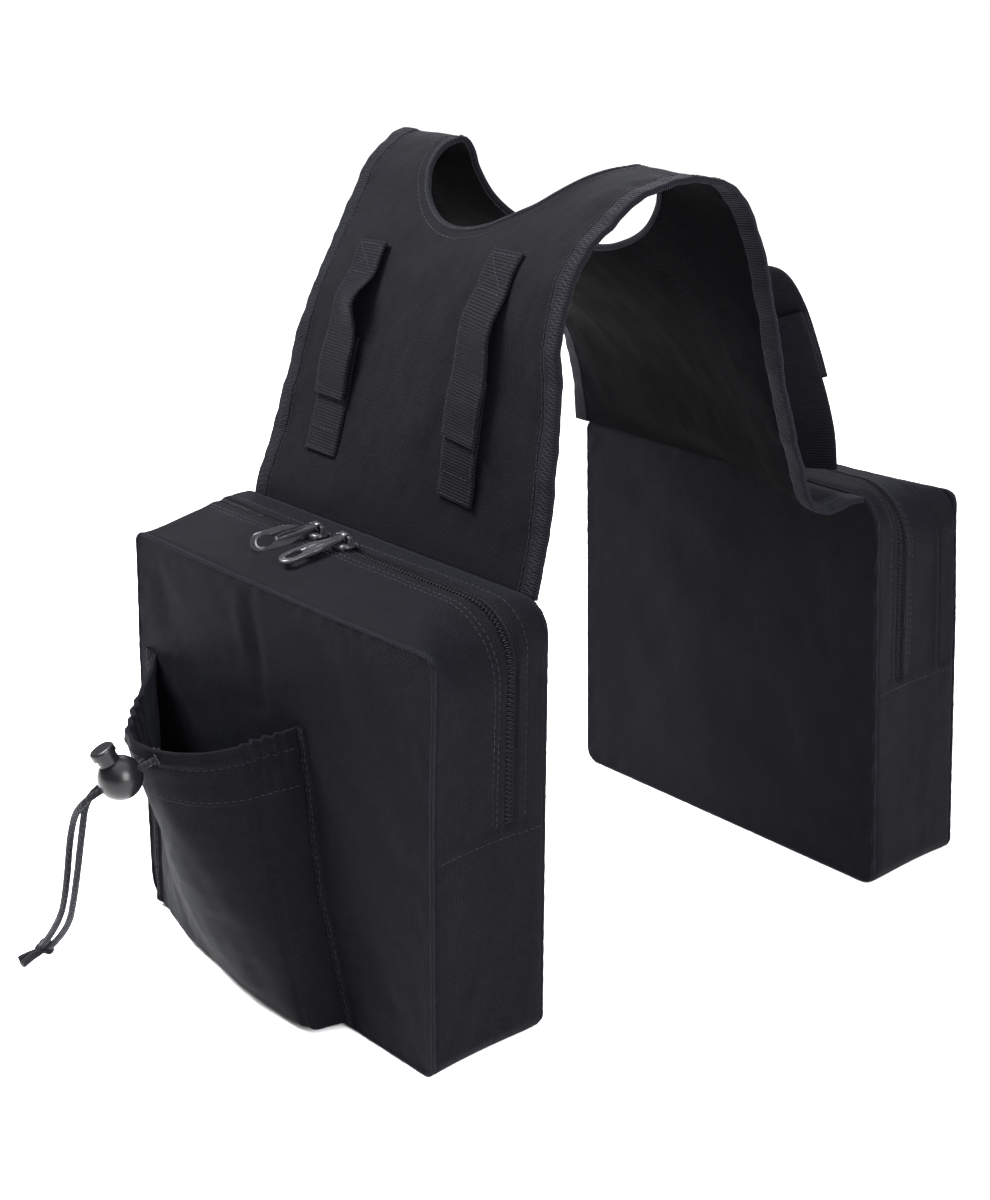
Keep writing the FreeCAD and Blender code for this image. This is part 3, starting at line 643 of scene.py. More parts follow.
def make_shell(side):
    """The pannier's skin: front and back panels and the gusset, sewn into one closed sagging shell."""
    a, b = np.meshgrid(np.linspace(-1, 1, COLS + 1), np.linspace(-1, 1, ROWS + 1))
    parts = []
    for face, d in (("front", DEPTH), ("back", 0.0)):
        x, z = drawn_in(*outline(a, b, d), 1.5 * np.maximum(np.abs(a), np.abs(b)) ** 9)
        points = settle(x, d, z, side)
        points[..., 1] += SIDES[side] * panel_relief(x, z, side, face) * (1 if face == "front" else -0.8)
        flip = (side == "near") != (face == "front")
        parts.append(grid_part(points, np.stack([x, z], axis=-1), flip=flip))
    depths = np.concatenate([[0, 0.5, 1.2, 2.4, 4.2], np.arange(6.2, 62, 1.55), [63.8, 65.6, 66.8, 67.5, 68]])
    points, _, s, _ = gusset_points(border(), depths, side)
    parts.append(grid_part(points, grid_uvs(s, depths, s.shape), wrap_rows=True, flip=side == "far"))
    shell = join(f"{side}_pannier", parts, OXFORD)
    shell.data.set_sharp_from_angle(angle=math.radians(50))
    dress(shell, f"{side}_bag", [f"{side}_{node}" for node in (
        "outer_panel", "inner_panel", "lower_gusset", "zip_outer_gusset", "zip_inner_gusset")])
    ring = border(COLS * 2, ROWS * 2)
    for name, d, inset in (("front_piping", DEPTH - 0.6, 1.0), ("rear_piping", 0.9, 1.2)):
        x, z = drawn_in(*outline(ring[:, 0], ring[:, 1], DEPTH if d > 9 else 0.0), inset)
        path = settle(x, d, z, side)
        s = np.arange(len(ring)) * 2.7
        fat = 1.15 + 0.12 * smooth_noise(np.stack([s, s * 0, s * 0], axis=-1), 12, 5, 2)
        path[:, 2] = np.maximum(path[:, 2], fat + 0.05)
        name = f"{side}_{name}"
        cord = join(name, [tube_mesh(path, fat, 8, closed=True, up=(0, 1, 0))], BINDING)
        dress(cord, f"{side}_bag", [name])


def ring_rows(d, side, raise_by, low=BOOT + 0.5, count=4):
    """A line round the upper gusset at one depth: points and outward directions, above the boot's seam."""
    ring = border(COLS * count, ROWS * count)
    points, outward, _, z = gusset_points(ring, [d], side, raise_by)
    start = int(np.argmin(z[:, 0] + 1000 * (ring[:, 0] > -0.99)))
    order = np.roll(np.arange(len(ring)), -start)
    order = [k for k in order if z[k, 0] > low]
    return points[order, 0], outward[order, 0]


# Half a turn of the coil's wire: across, up and radius.
COIL_TURN = [(-1.7, -0.35, 0.42), (-1.05, 0.3, 0.46), (1.05, 0.3, 0.46), (1.7, -0.35, 0.42)]
WIRE_SIDES = 5


def make_coil(side):
    """The zip's two coils of bent wire, whose turns mesh."""
    line, normal = ring_rows(COIL, side, COIL_LIFT)
    along = lengths(line)
    across = np.array((0.0, 1.0, 0.0))
    verts, faces = [], []
    for index, s in enumerate(np.arange(0.5, along[-1] - 0.5, COIL_PITCH)):
        at, up = at_length(s, along, line), unit(at_length(s, along, normal))
        ahead = unit(np.cross(up, across))
        shift = COIL_SHIFT if index % 2 else -COIL_SHIFT
        faces += tube_faces(len(COIL_TURN), WIRE_SIDES, len(verts) * WIRE_SIDES)
        for share, height, fat in COIL_TURN:
            centre = at + across * (share + shift) + up * height
            verts.append(ring_of(centre, ahead * fat, up * fat, WIRE_SIDES))
    coil = join(f"{side}_zip_coil", [(np.concatenate(verts), faces)], COIL_MAT)
    dress(coil, f"{side}_bag", [f"{side}_zip"])


def make_tapes(side):
    """The zip's woven tapes, on both sides of its coils."""
    strips = []
    for low, high in ((ZIP_FROM + 0.2, COIL - 1.3), (COIL + 1.3, ZIP_TO - 0.2)):
        depths = np.linspace(low, high, 4)
        rows = [ring_rows(d, side, 0.25)[0] for d in depths]
        count = min(len(row) for row in rows)
        points = np.stack([row[:count] for row in rows], axis=1)
        uvs = grid_uvs((np.arange(count) * 0.7)[:, None], depths, (count, 4))
        strips.append(grid_part(points, uvs, flip=side == "far"))
    dress(join(f"{side}_zip_tapes", strips, TAPE), f"{side}_bag")


def make_gusset_stitching(side):
    """Rows of stitches beside the zip, and one along the boot's seam at each end of the pannier."""
    rows = [stitch_mesh(*ring_rows(d, side, 0.12)) for d in (REAR_STITCH, *TOPSTITCH)]
    d = np.linspace(3, DEPTH - 3, 24)
    for hand in (-1, 1):
        x, z = outline(hand, BOOT_STITCH / (HEIGHT / 2) - 1, d)
        rows.append(stitch_mesh(settle(x + hand * 0.35, d, z, side), np.tile((hand, 0, 0), (len(d), 1))))
    dress(join(f"{side}_gusset_stitching", rows, THREAD), f"{side}_bag")


PIN_HEIGHT = 220.5
SLIDERS = {"left": (-25.0, -31, 14, 72), "right": (-4.0, -21, 15, 6)}    # x, and its pull's yaw, droop, roll


def blocks(parts):
    """Mesh data of bevelled blocks, each (centre, size, bevel) in millimetres."""
    made = []
    for centre, size, bevel in parts:
        bm = bmesh.new()
        bmesh.ops.create_cube(bm, size=1.0)
        bmesh.ops.scale(bm, vec=size, verts=bm.verts)
        bmesh.ops.bevel(bm, geom=bm.edges[:], offset=bevel, segments=3, profile=0.6, affect="EDGES")
        verts = np.array([v.co for v in bm.verts]) + np.array(centre)
        made.append((verts, [tuple(v.index for v in f.verts) for f in bm.faces]))
        bm.free()
    return made


def make_slider(side, hand, x):
    """A zip slider: a crowned body with side flanges and ears that hold the bridge pin."""
    y, deck = SIDES[side] * (GAP + COIL), HEIGHT + 0.9
    a, r = np.meshgrid(round_angles(40), np.array([1, 1, 0.97, 0.85, 0.6, 0.3, 0.02]))
    squareness = 0.62
    wide = 1 - 0.16 * np.cos(a) ** 2
    px = 5.4 * r * np.sign(np.cos(a)) * np.abs(np.cos(a)) ** squareness
    py = 4.5 * r * np.sign(np.sin(a)) * np.abs(np.sin(a)) ** squareness * wide
    level = np.array([-0.1, 0.7, 1.15, 1.5, 1.85, 2.0, 2.05])[:, None]
    dome = np.stack([x + px, y + py, deck + level + 0 * a], axis=-1)
    faces = grid_faces(*dome.shape[:2], wrap_cols=True, flip=True) + [tuple(range(dome.shape[1]))]
    parts = [(dome.reshape(-1, 3), faces)]
    parts += blocks([((x, y + s * 4.3, deck), (9.4, 1.1, 2.1), 0.4) for s in (-1, 1)])
    parts += blocks([((x + s * 4.5, y, deck + 3.25), (1.3, 2.7, 4.2), 0.55) for s in (-1, 1)])
    parts.append(tube_mesh([(x + away, y, PIN_HEIGHT) for away in (-4.4, 0, 4.4)], 1.0, 16))
    obj = join(f"{side}_slider_{hand}_body", parts, METAL)
    obj.data.set_sharp_from_angle(angle=math.radians(45))
    dress(obj, f"{side}_slider_{hand}", [f"{side}_zip_slider_{hand}"])


def loop_of(points, count):
    """Evenly spaced points round a closed outline."""
    return spread(np.array([*points, points[0]]), count + 1)[:-1]


def rotation(degrees, axis):
    """A turn about an axis through the origin, as a 3 x 3 array."""
    return np.array(Matrix.Rotation(math.radians(degrees), 3, axis))


def fix_normals(obj, sharp=None):
    """Turns all faces outward, and makes edges sharp where they turn by more than some degrees."""
    bm = bmesh.new()
    bm.from_mesh(obj.data)
    bmesh.ops.recalc_face_normals(bm, faces=bm.faces)
    bm.to_mesh(obj.data)
    bm.free()
    if sharp:
        obj.data.set_sharp_from_angle(angle=math.radians(sharp))


PULL, PULL_HALF, PULL_THICK, PULL_EDGE = 33.0, 5.1, 1.7, 0.45       # length, half width, thickness, bevel


def make_tongue():
    """A stamped tongue that hangs along -y, with a forked neck, an oval window and a raised rib."""
    count = 64
    neck = [(2.0, -1.2), (2.3, -4.5), (2.7, -8.5), (4.3, -12.5), (PULL_HALF, -16.0)]
    tip = [(PULL_HALF * math.cos(t), 5.0 - PULL - PULL_HALF * math.sin(t))
           for t in np.linspace(0.15, math.pi - 0.15, 12)]
    shape = [(0.0, -1.0)] + neck + [(PULL_HALF, 5.6 - PULL)] + tip + [(-PULL_HALF, 5.6 - PULL)]
    outer = loop_of(shape + [(-a, b) for a, b in reversed(neck)], count)
    inner = loop_of([(2.75 * math.sin(t), 7.6 - PULL + 4.2 * math.cos(t)) for t in round_angles(39)], count)
    flat, bevelled = PULL_THICK / 2, PULL_THICK / 2 - PULL_EDGE
    rows = []
    for ring, toward, shift, z in (
            (inner, outer, 0, -bevelled), (inner, outer, PULL_EDGE, -flat), (outer, inner, PULL_EDGE, -flat),
            (outer, inner, 0, -bevelled), (outer, inner, 0, bevelled), (outer, inner, PULL_EDGE, flat),
            (inner, outer, PULL_EDGE, flat), (inner, outer, 0, bevelled)):
        moved = ring + unit(toward - ring) * shift
        rows.append(np.concatenate([moved, np.full((count, 1), z)], axis=1))
    rib = [(1.5 * math.cos(t), 5.0 * math.sin(t) - 14.5, flat - 0.05) for t in round_angles(32)]
    return [(np.concatenate(rows), grid_faces(8, count, wrap_rows=True, wrap_cols=True)),
            tube_mesh(rib, 0.32, 6, closed=True)]


def make_pull(side, hand, x, yaw, droop, roll):
    """A pull tab: a rolled eye on the pin, and a tongue that is turned and twisted away from it."""
    place = rotation(yaw, "Z") @ rotation(droop, "X")
    parts = []
    for verts, faces in make_tongue():
        share = step(1.0, 9.0, -verts[:, 1])[:, None]
        rolled = verts * (1 - share) + (verts @ rotation(roll, "Y").T) * share
        parts.append((rolled @ place.T, faces))
    profile = [(1.15, -2.3), (1.15, 2.3), (1.35, 2.5), (1.95, 2.5)]
    profile += [(3.3 - r, -across) for r, across in profile]
    eye = np.array([(across, r * math.cos(t), r * math.sin(t))
                    for r, across in profile for t in round_angles(24)])
    parts.append((eye @ rotation(yaw * 0.35, "Z").T, grid_faces(8, 24, wrap_rows=True, wrap_cols=True)))
    outward = SIDES[side]
    pin = (x, outward * (GAP + COIL), PIN_HEIGHT)
    parts = [(verts * (1, -outward, 1) + pin, [face[::-outward] for face in faces]) for verts, faces in parts]
    obj = join(f"{side}_pull_tab_{hand}", parts, METAL)
    fix_normals(obj, sharp=50)
    dress(obj, f"{side}_pull_{hand}", [f"{side}_zip_pull_{hand}"])


# ------------------------------------------------------------------ bottle pockets

# The pocket's outline in x and depth at its foot and at its mouth, which bulges round a bottle.
BOTTLE = [(-14 + 34 * math.cos(math.radians(t)), 29.8 - 34 * math.sin(math.radians(t)))
          for t in (229.4, 254, 279, 304, 329, 354, 376)]
MOUTH = [(-101, 0.2), (-69, 27)] + BOTTLE + [(21.5, 0.4)]
FOOT = [(-105, 0.2), (-86, 6), (-66, 12), (-44, 15.5), (-20, 18), (4, 19.5), (28, 20.4),
        (46, 19.4), (51, 11), (53, 0.4)]
MOUTH_LINE, FOOT_LINE = spline(MOUTH, 241), spline(FOOT, 241)
POCKET_FOOT, POCKET_TOP, HEM, HEM_STITCHES = 3.0, 147.0, 30.0, (118.8, 137.2)


def pocket_surface(u, z, side, inset=0.0, scale=1.0):
    """Points of the pocket's wall at shares u along its outline and heights z, with a relief of slack."""
    u, z = np.broadcast_arrays(u, z)
    share = np.clip((z - POCKET_FOOT) / (POCKET_TOP - POCKET_FOOT), 0, 1) ** 0.82
    along = np.linspace(0, 1, len(FOOT_LINE))

    def wall(u):
        return [np.interp(u, along, FOOT_LINE[:, k]) * (1 - share)
                + np.interp(u, along, MOUTH_LINE[:, k]) * share for k in (0, 1)]

    (x, depth), (x1, d1), (x2, d2) = wall(u), wall(u - 0.004), wall(u + 0.004)
    nx, nd = -(d2 - d1), (x2 - x1)
    size = np.maximum(np.hypot(nx, nd), 1e-6)
    nx, nd = nx / size, nd / size
    free = step(0.0, 0.07, u) * step(1.0, 0.93, u)
    p = np.stack([u * 150, z, 0 * z], axis=-1)
    seed = 50 if side == "near" else 57
    relief = 1.1 * smooth_noise(p, 70, seed, 3) + 0.25 * smooth_noise(p, 15, seed + 3, 2)
    high = step(96, 144, z)
    relief += high * 0.55 * np.sin(u * 96 + 1.2 * np.sin(u * 17)) * step(0.2, 0.3, u) * step(0.62, 0.5, u)
    bunch = step(0.80, 0.87, u) * step(1.0, 0.93, u)
    relief += bunch * step(112, 146, z) * 1.5 * np.sin(u * 190 + z * 0.05)
    relief += -1.1 * bell(u, 0.875, 0.012) * step(120, 90, z)
    relief *= free
    fold = POCKET_TOP - HEM
    relief += 0.75 * step(fold - 0.7, fold + 0.7, z) * step(0.0, 0.03, u) * step(1.0, 0.97, u)
    relief += 0.8 * bell(z, 140.4, 1.9) * free
    relief -= 0.3 * bell(z, HEM_STITCHES[1], 0.7) * free + 0.3 * bell(z, HEM_STITCHES[0], 0.7) * free
    lift = relief - inset
    x, depth = x + nx * lift, depth + nd * lift
    depth = np.maximum(depth * scale, 0.15)
    top_edge = 2.2 * np.sin(u * math.pi) ** 2 * step(118, 147, z)
    points = settle(x, DEPTH, z - top_edge, side)
    under = panel_relief(x, z, side, "front") * np.exp(-depth / 9)
    points[..., 1] += SIDES[side] * (depth + under)
    points[..., 2] = np.maximum(points[..., 2], 0.6)
    return points


# The pocket's side flanges: how far out from the wall and off the panel, and how far along the cloth.
FLANGE = (-1.0, 0.9), (0.4, 1.0), (1.2, 1.35), (3.4, 1.35), (4.6, 1.2), (5.0, 0.5), (5.0, -0.4)
FLANGE_RUN = np.array([0, 1.4, 2.2, 4.4, 5.6, 6, 7.0])


def pocket_rows():
    """Heights, insets and scales of the pocket's rows, and how far along the cloth each one is."""
    rows = [(POCKET_FOOT, 0.0, scale, -16 * (1 - scale)) for scale in (0.05, 0.5, 0.85, 0.96)]
    rows += [(z, 0.0, 1.0, z) for z in (*np.arange(4.0, 116, 1.9), *np.linspace(116, 118.2, 5),
                                        *np.arange(119.4, 136, 1.6), *np.arange(136, 146.2, 0.8))]
    rows += [(z, inset, 1.0, z + inset) for inset, z in
             ((0.15, 146.7), (0.6, 147.1), (1.3, 147.2), (2.0, 147.0), (2.5, 146.4))]
    rows += [(z, 2.7, 1.0, 297 - z) for z in (*np.arange(145, 116, -2.4), *np.arange(114, 5, -5.0))]
    return rows


def make_pocket(side):
    """The bottle pocket: bottom, walls, rolled and gathered hem, and the inside seen from above."""
    outward, body = SIDES[side], f"{side}_bag"
    u = np.linspace(0, 1, 181)
    rows = pocket_rows()
    points = np.stack([pocket_surface(u, z, side, inset, scale) for z, inset, scale, _ in rows])
    along = np.array([row[-1] for row in rows])
    uvs = grid_uvs(np.linspace(0, 205, len(u)), along[:, None], points.shape[:2])
    pocket = join(f"{side}_pocket", [grid_part(points, uvs, flip=side == "far")], OXFORD)
    fix_normals(pocket)
    dress(pocket, body, [f"{side}_bottle_pocket", f"{side}_pocket_hem"])
    lines = []
    for z in HEM_STITCHES:
        line = pocket_surface(np.linspace(0.03, 0.985, 160), z, side, -0.12)
        lines.append(stitch_mesh(line, outward_of(line, outward)))
    flanges = []
    z = np.arange(2.5, 149, 2.0)
    for end, way in ((0.0, -1), (1.0, 1)):
        edge = pocket_surface(np.full_like(z, end), np.clip(z, 0, 146.9), side)
        strip = []
        for away, stand in FLANGE:
            x = edge[:, 0] + way * away
            at = settle(x, DEPTH, z, side)
            at[:, 0] = x
            at[:, 1] += outward * (panel_relief(x, z, side, "front") + stand)
            at[:, 2] = edge[:, 2] + (z > 147) * 1.5
            strip.append(at)
        strip = np.stack(strip, axis=1)
        flanges.append(grid_part(strip, grid_uvs(FLANGE_RUN, z[:, None], strip.shape[:2])))
        facing = np.tile((0, outward, 0), (len(z), 1))
        for column in (2, 3):
            lines.append(stitch_mesh(strip[:, column] + facing * 0.1, facing))
    flange = join(f"{side}_pocket_flanges", flanges, OXFORD)
    fix_normals(flange)
    dress(flange, body)
    dress(join(f"{side}_pocket_stitching", lines, THREAD), body)
    rings = []
    for sign in (-1, 1):
        ring = ring_of(by_lock(-19.2, sign, 1.5), ASIDE * 2.4, RISE * 2.4, 20)
        rings.append(tube_mesh(mirrored(ring, side), 0.55, 8, closed=True))
    dress(join(f"{side}_eyelets", rings, THREAD), body)


def outward_of(line, outward):
    """Directions that point out of the pocket's bulge, square to a level line on it."""
    ahead = np.gradient(line, axis=0)
    away = np.stack([ahead[:, 1], -ahead[:, 0], 0 * ahead[:, 0]], axis=-1)
    away *= np.sign(away[len(away) // 2, 1]) * outward
    return unit(away)


# ------------------------------------------------------------------ yoke

HALF, CLOTH, CLOTH_RUN = 105.0, 2.0, 228         # half width, thickness, and length of a half, for the weave
HOLE_X, HOLE = 3.0, 62.0                         # the hole's middle and radius on the flat cloth
# The arch's two long edges in y and z, from the near seam over the crown to the far seam.
RIGHT_NEAR = [(-115.2, 213.4), (-112.8, 223), (-107.5, 249), (-104.5, 276), (-103, 300), (-103.5, 320),
              (-101, 337), (-95, 354), (-85, 366), (-72, 376), (-55, 385), (-37, 389), (-20, 390)]
RIGHT_FAR = [(-20, 390), (1, 385), (15, 374), (26, 356), (33, 337), (42, 307), (52, 276), (63, 246),
             (71, 225), (78, 216), (88, 212.5), (98, 213.2), (107, 214.2), (115.2, 213.4)]
LEFT_NEAR = [(-115.2, 213.4), (-112, 224), (-103, 245), (-92, 275), (-82, 299), (-71, 321), (-60, 340),
             (-50, 356), (-40, 373), (-31, 382), (-22, 387.5), (-15, 389.2), (-12, 389.4)]
LEFT_FAR = [(-12, 389.4), (-8, 387), (-6, 380), (-7, 371), (-6, 356), (3, 340), (30, 322), (62, 306),
            (92, 285), (107, 258), (113, 232), (115.2, 213.4)]
V_TABLE = np.linspace(0, 2, 401)


def edge_table(near, far):
    """Points of an edge at each v of V_TABLE."""
    return np.concatenate([spline(near, 201), spline(far, 201)[1:]])


LEFT_TABLE, RIGHT_TABLE = edge_table(LEFT_NEAR, LEFT_FAR), edge_table(RIGHT_NEAR, RIGHT_FAR)


def yoke_base(x, v):
    """The plain arched surface: x is across it, and v goes from 0 at the near seam to 2 at the far one."""
    share = (x / HALF + 1) / 2
    y, z = (np.interp(v, V_TABLE, LEFT_TABLE[:, k]) * (1 - share)
            + np.interp(v, V_TABLE, RIGHT_TABLE[:, k]) * share for k in (0, 1))
    return np.stack([x + 0 * y, y, z], axis=-1)


STATIONS = np.linspace(-HALF - 2, HALF + 2, 43)
ARCS = [lengths(yoke_base(np.full(len(V_TABLE), x), V_TABLE)) for x in STATIONS]
ARC_TABLE = np.array([along - along[200] for along in ARCS])


def arc_of(x, v):
    """Length along the cloth from the crown, negative towards the near pannier, at x and v."""
    at = (np.clip(x, STATIONS[0], STATIONS[-1]) - STATIONS[0]) / (STATIONS[1] - STATIONS[0])
    low = np.minimum(at.astype(int), len(STATIONS) - 2)
    row = np.asarray(v, float) / 2 * (len(V_TABLE) - 1)
    column = np.minimum(row.astype(int), len(V_TABLE) - 2)
    share, part = at - low, row - column

    def pick(station):
        return ARC_TABLE[station, column] * (1 - part) + ARC_TABLE[station, column + 1] * part

    return pick(low) * (1 - share) + pick(low + 1) * share


def v_of_arc(x, arc):
    """The v at each of some lengths along the cloth from the crown."""
    v = np.linspace(0.3, 1.7, 281)
    return np.array([np.interp(length, arc_of(at, v), v) for at, length in zip(x, arc)])


def v_of_height(x, z, side):
    """The v at which the arch, on one side of its crown, is z high at x."""
    v = np.linspace(0, 0.97, 241) if side == "near" else np.linspace(1.03, 2, 241)[::-1]
    lines = [np.maximum.accumulate(yoke_base(at, v)[:, 2]) for at in x]
    return np.array([np.interp(height, line, v) for height, line in zip(z, lines)])


def yoke_normal(x, v, base=yoke_base):
    """Directions out of the plain or the draped arch."""
    along_x = base(x + 0.5, v) - base(x - 0.5, v)
    along_v = base(x, np.clip(v + 0.012, 0, 2)) - base(x, np.clip(v - 0.012, 0, 2))
    return unit(np.cross(along_x, along_v))


def yoke_relief(x, v):
    """Slack, folds and puckers of the arched cloth, off its plain surface."""
    fade = step(0, 0.1, v) * step(2, 1.9, v)
    p = np.stack([x, v * 230, 0 * x], axis=-1)
    rim = step(HALF, HALF - 16, np.abs(x))
    relief = 1.7 * smooth_noise(p, 105, 71, 3) * fade * (0.35 + 0.65 * rim)
    relief += 0.22 * smooth_noise(p, 17, 75, 2) * fade
    puckered = 1 - step(HALF - 9, HALF - 22, np.abs(x))
    relief += 0.4 * smooth_noise(p * (0.3, 1, 1), 11, 78, 1) * puckered * fade
    fold = bell(x, 30 + 34 * (v - 0.45), 9) * step(0.12, 0.3, v) * step(0.75, 0.5, v)
    return relief - 1.3 * fold


def yoke(x, v, lift=0.0):
    """The draped surface, raised by a lift."""
    x, v = np.broadcast_arrays(np.asarray(x, float), np.asarray(v, float))
    return yoke_base(x, v) + yoke_normal(x, v) * (yoke_relief(x, v) + lift)[..., None]


def bend(obj, nodes=()):
    """The usual ending for a piece that rides on the yoke: its transform baked into its mesh, and its body.
    """
    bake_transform(obj)
    dress(obj, "yoke", nodes)


def yoke_blend(obj, nodes=()):
    """The same, for a piece that reaches down towards a pannier."""
    bend(obj, nodes)


def used_only(verts, faces, uvs):
    """The same mesh without the vertices that no face uses."""
    used = np.unique([i for face in faces for i in face])
    place = np.full(len(verts), -1)
    place[used] = np.arange(len(used))
    return verts[used], [tuple(place[i] for i in face) for face in faces], uvs[used]


def set_normals(obj, normals):
    """Gives vertices their own normals; a zero keeps the usual one."""
    obj.data.normals_split_custom_set_from_vertices([tuple(normal) for normal in normals])


YOKE_COLS, YOKE_ROWS = 85, {"near": 94, "far": 100}
HALVES = {"near": (0.0, 1.0), "far": (1.0, 2.0)}                                    # each half's range of v


def make_yoke_half(side):
    """Half of the arched panel: an outer cloth and its dark lining, with half of the cap hole."""
    rows, cols = YOKE_ROWS[side], YOKE_COLS
    x, v = np.meshgrid(np.linspace(-HALF, HALF, cols), np.linspace(*HALVES[side], rows))
    arc = arc_of(x, v)
    reach = np.hypot(x - HOLE_X, arc)
    middle = (reach[:-1, :-1] + reach[1:, 1:] + reach[1:, :-1] + reach[:-1, 1:]) / 4
    keep = middle > HOLE
    touching, gone = np.zeros(x.shape, bool), np.zeros(x.shape, bool)
    for i, j in ((0, 0), (0, 1), (1, 0), (1, 1)):
        touching[i:i + rows - 1, j:j + cols - 1] |= keep
        gone[i:i + rows - 1, j:j + cols - 1] |= ~keep
    rim = touching & gone
    scale = HOLE / reach[rim]
    new_x = HOLE_X + (x[rim] - HOLE_X) * scale
    crown = np.abs(v[rim] - 1) < 1e-6
    v[rim] = np.where(crown, 1.0, v_of_arc(new_x, arc[rim] * scale))
    x[rim] = new_x
    outer, inner = yoke(x, v), yoke(x, v, -CLOTH)
    count = x.size
    verts = np.concatenate([outer.reshape(-1, 3), inner.reshape(-1, 3)])
    length = np.stack([x, v * CLOTH_RUN], axis=-1).reshape(-1, 2)
    faces = grid_faces(rows, cols, keep=keep)
    outer_count = len(faces)
    faces += [tuple(i + count for i in reversed(f)) for f in faces]
    edges = dict.fromkeys(pair for f in faces[:outer_count] for pair in zip(f, f[1:] + f[:1]))
    walls = [(b, a, a + count, b + count) for a, b in edges if (b, a) not in edges]
    verts, faces, uvs = used_only(verts, faces + walls, np.concatenate([length, length]))
    half = mesh_object(f"yoke_{side}_half", verts, faces, uvs)
    for material in (OXFORD, LINING):
        half.data.materials.append(material)
    for polygon in half.data.polygons[outer_count:2 * outer_count]:
        polygon.material_index = 1
    normals = np.zeros((len(verts), 3))
    split = np.abs(uvs[:, 1] - CLOTH_RUN) < 1e-6
    facing = yoke_normal(uvs[split, 0], 1.0, yoke)
    inside = np.arange(len(verts))[split] >= len(verts) // 2
    normals[split] = facing * np.where(inside, -1, 1)[:, None]
    set_normals(half, normals)
    yoke_blend(half, ["yoke_panel"])


def loop_strip(points, uvs):
    """Mesh data of a closed band: [rows, cols, 3], each row once round its section."""
    rows, cols = points.shape[:2]
    faces = grid_faces(rows, cols, wrap_cols=True)
    faces += [tuple(range(cols))[::-1], tuple(range((rows - 1) * cols, rows * cols))]
    return points.reshape(-1, 3), faces, np.asarray(uvs, float).reshape(-1, 2)


# Sections of the folded bindings: how far in from the edge and how far up.
EDGE_SECTION = [(9.4, 0.0), (9.1, 0.35), (8.4, 0.5), (4.6, 0.55), (0.9, 0.5), (-0.1, 0.3), (-0.45, -0.3),
                (-0.45, -1.7), (-0.1, -2.3), (0.9, -2.5), (8.4, -2.5), (9.1, -2.35), (9.4, -2.0)]
RIM_SECTION = [(2.6, 0.0), (2.4, 0.3), (1.9, 0.45), (1.0, 0.5), (0.1, 0.3), (-0.3, -0.3), (-0.3, -1.7),
               (0.1, -2.3), (1.0, -2.5), (1.9, -2.5), (2.4, -2.35), (2.6, -2.0)]


def smooth_seam(obj, rows, side):
    """Gives the end row at the crown the normals that the other half's row has too."""
    count = rows.shape[1]
    start = len(obj.data.vertices) - count if side == "near" else 0
    row = rows[-1] if start else rows[0]
    normals = np.zeros((len(obj.data.vertices), 3))
    away = unit(row - row.mean(axis=0))
    away[:, 1] = 0
    normals[start:start + count] = unit(away)
    set_normals(obj, normals)


def make_edge_binding(hand, sign, side):
    """Half of the folded binding on one of the arch's long edges, with its overlock and seam stitches."""
    v = np.linspace(*HALVES[side], 110)
    rows = np.stack([yoke(sign * (HALF - inset), v, lift) for inset, lift in EDGE_SECTION], axis=1)
    uvs = grid_uvs(v[:, None] * CLOTH_RUN, np.cumsum([1.2] * len(EDGE_SECTION)), rows.shape[:2])
    strip = join(f"yoke_{hand}_edge_{side}", [loop_strip(rows, uvs)], BINDING)
    fix_normals(strip)
    smooth_seam(strip, rows, side)
    yoke_blend(strip, [f"yoke_{hand}_binding"])
    middle, seam = sign * (HALF - 4.6), sign * (HALF - 10.8)
    facing = yoke_normal(middle, v)
    stitches = [stitch_mesh(yoke(middle, v, 0.6), facing, length=6.6, gap=-4.0, width=0.45, tilt=2.2 * sign),
                stitch_mesh(yoke(seam, v, 0.12), facing)]
    yoke_blend(join(f"yoke_{hand}_edge_stitches_{side}", stitches, THREAD))


def hole_ring(turn, inset):
    """x and v round the hole, a little way out from its edge on the flat cloth."""
    x = HOLE_X + (HOLE + inset) * np.cos(turn)
    return x, v_of_arc(x, (HOLE + inset) * np.sin(turn))


def make_hole_binding():
    """The binding round the cap hole, with its two rows of stitches."""
    turn = round_angles(240)
    rows = np.stack([yoke(*hole_ring(turn, inset), lift) for inset, lift in RIM_SECTION], axis=1)
    uvs = grid_uvs(turn[:, None] * HOLE, np.cumsum([0.9] * len(RIM_SECTION)), rows.shape[:2])
    ring = join("cap_hole_rim", [grid_part(rows, uvs, wrap_rows=True, wrap_cols=True)], BINDING)
    fix_normals(ring)
    dress(ring, "yoke", ["cap_hole_binding"])
    lines = [stitch_mesh(yoke(*hole_ring(turn, inset), lift), yoke_normal(*hole_ring(turn, inset)))
             for inset, lift in ((1.5, 0.5), (6.5, 0.1))]
    dress(join("cap_hole_stitches", lines, THREAD), "yoke")


# ------------------------------------------------------------------ straps

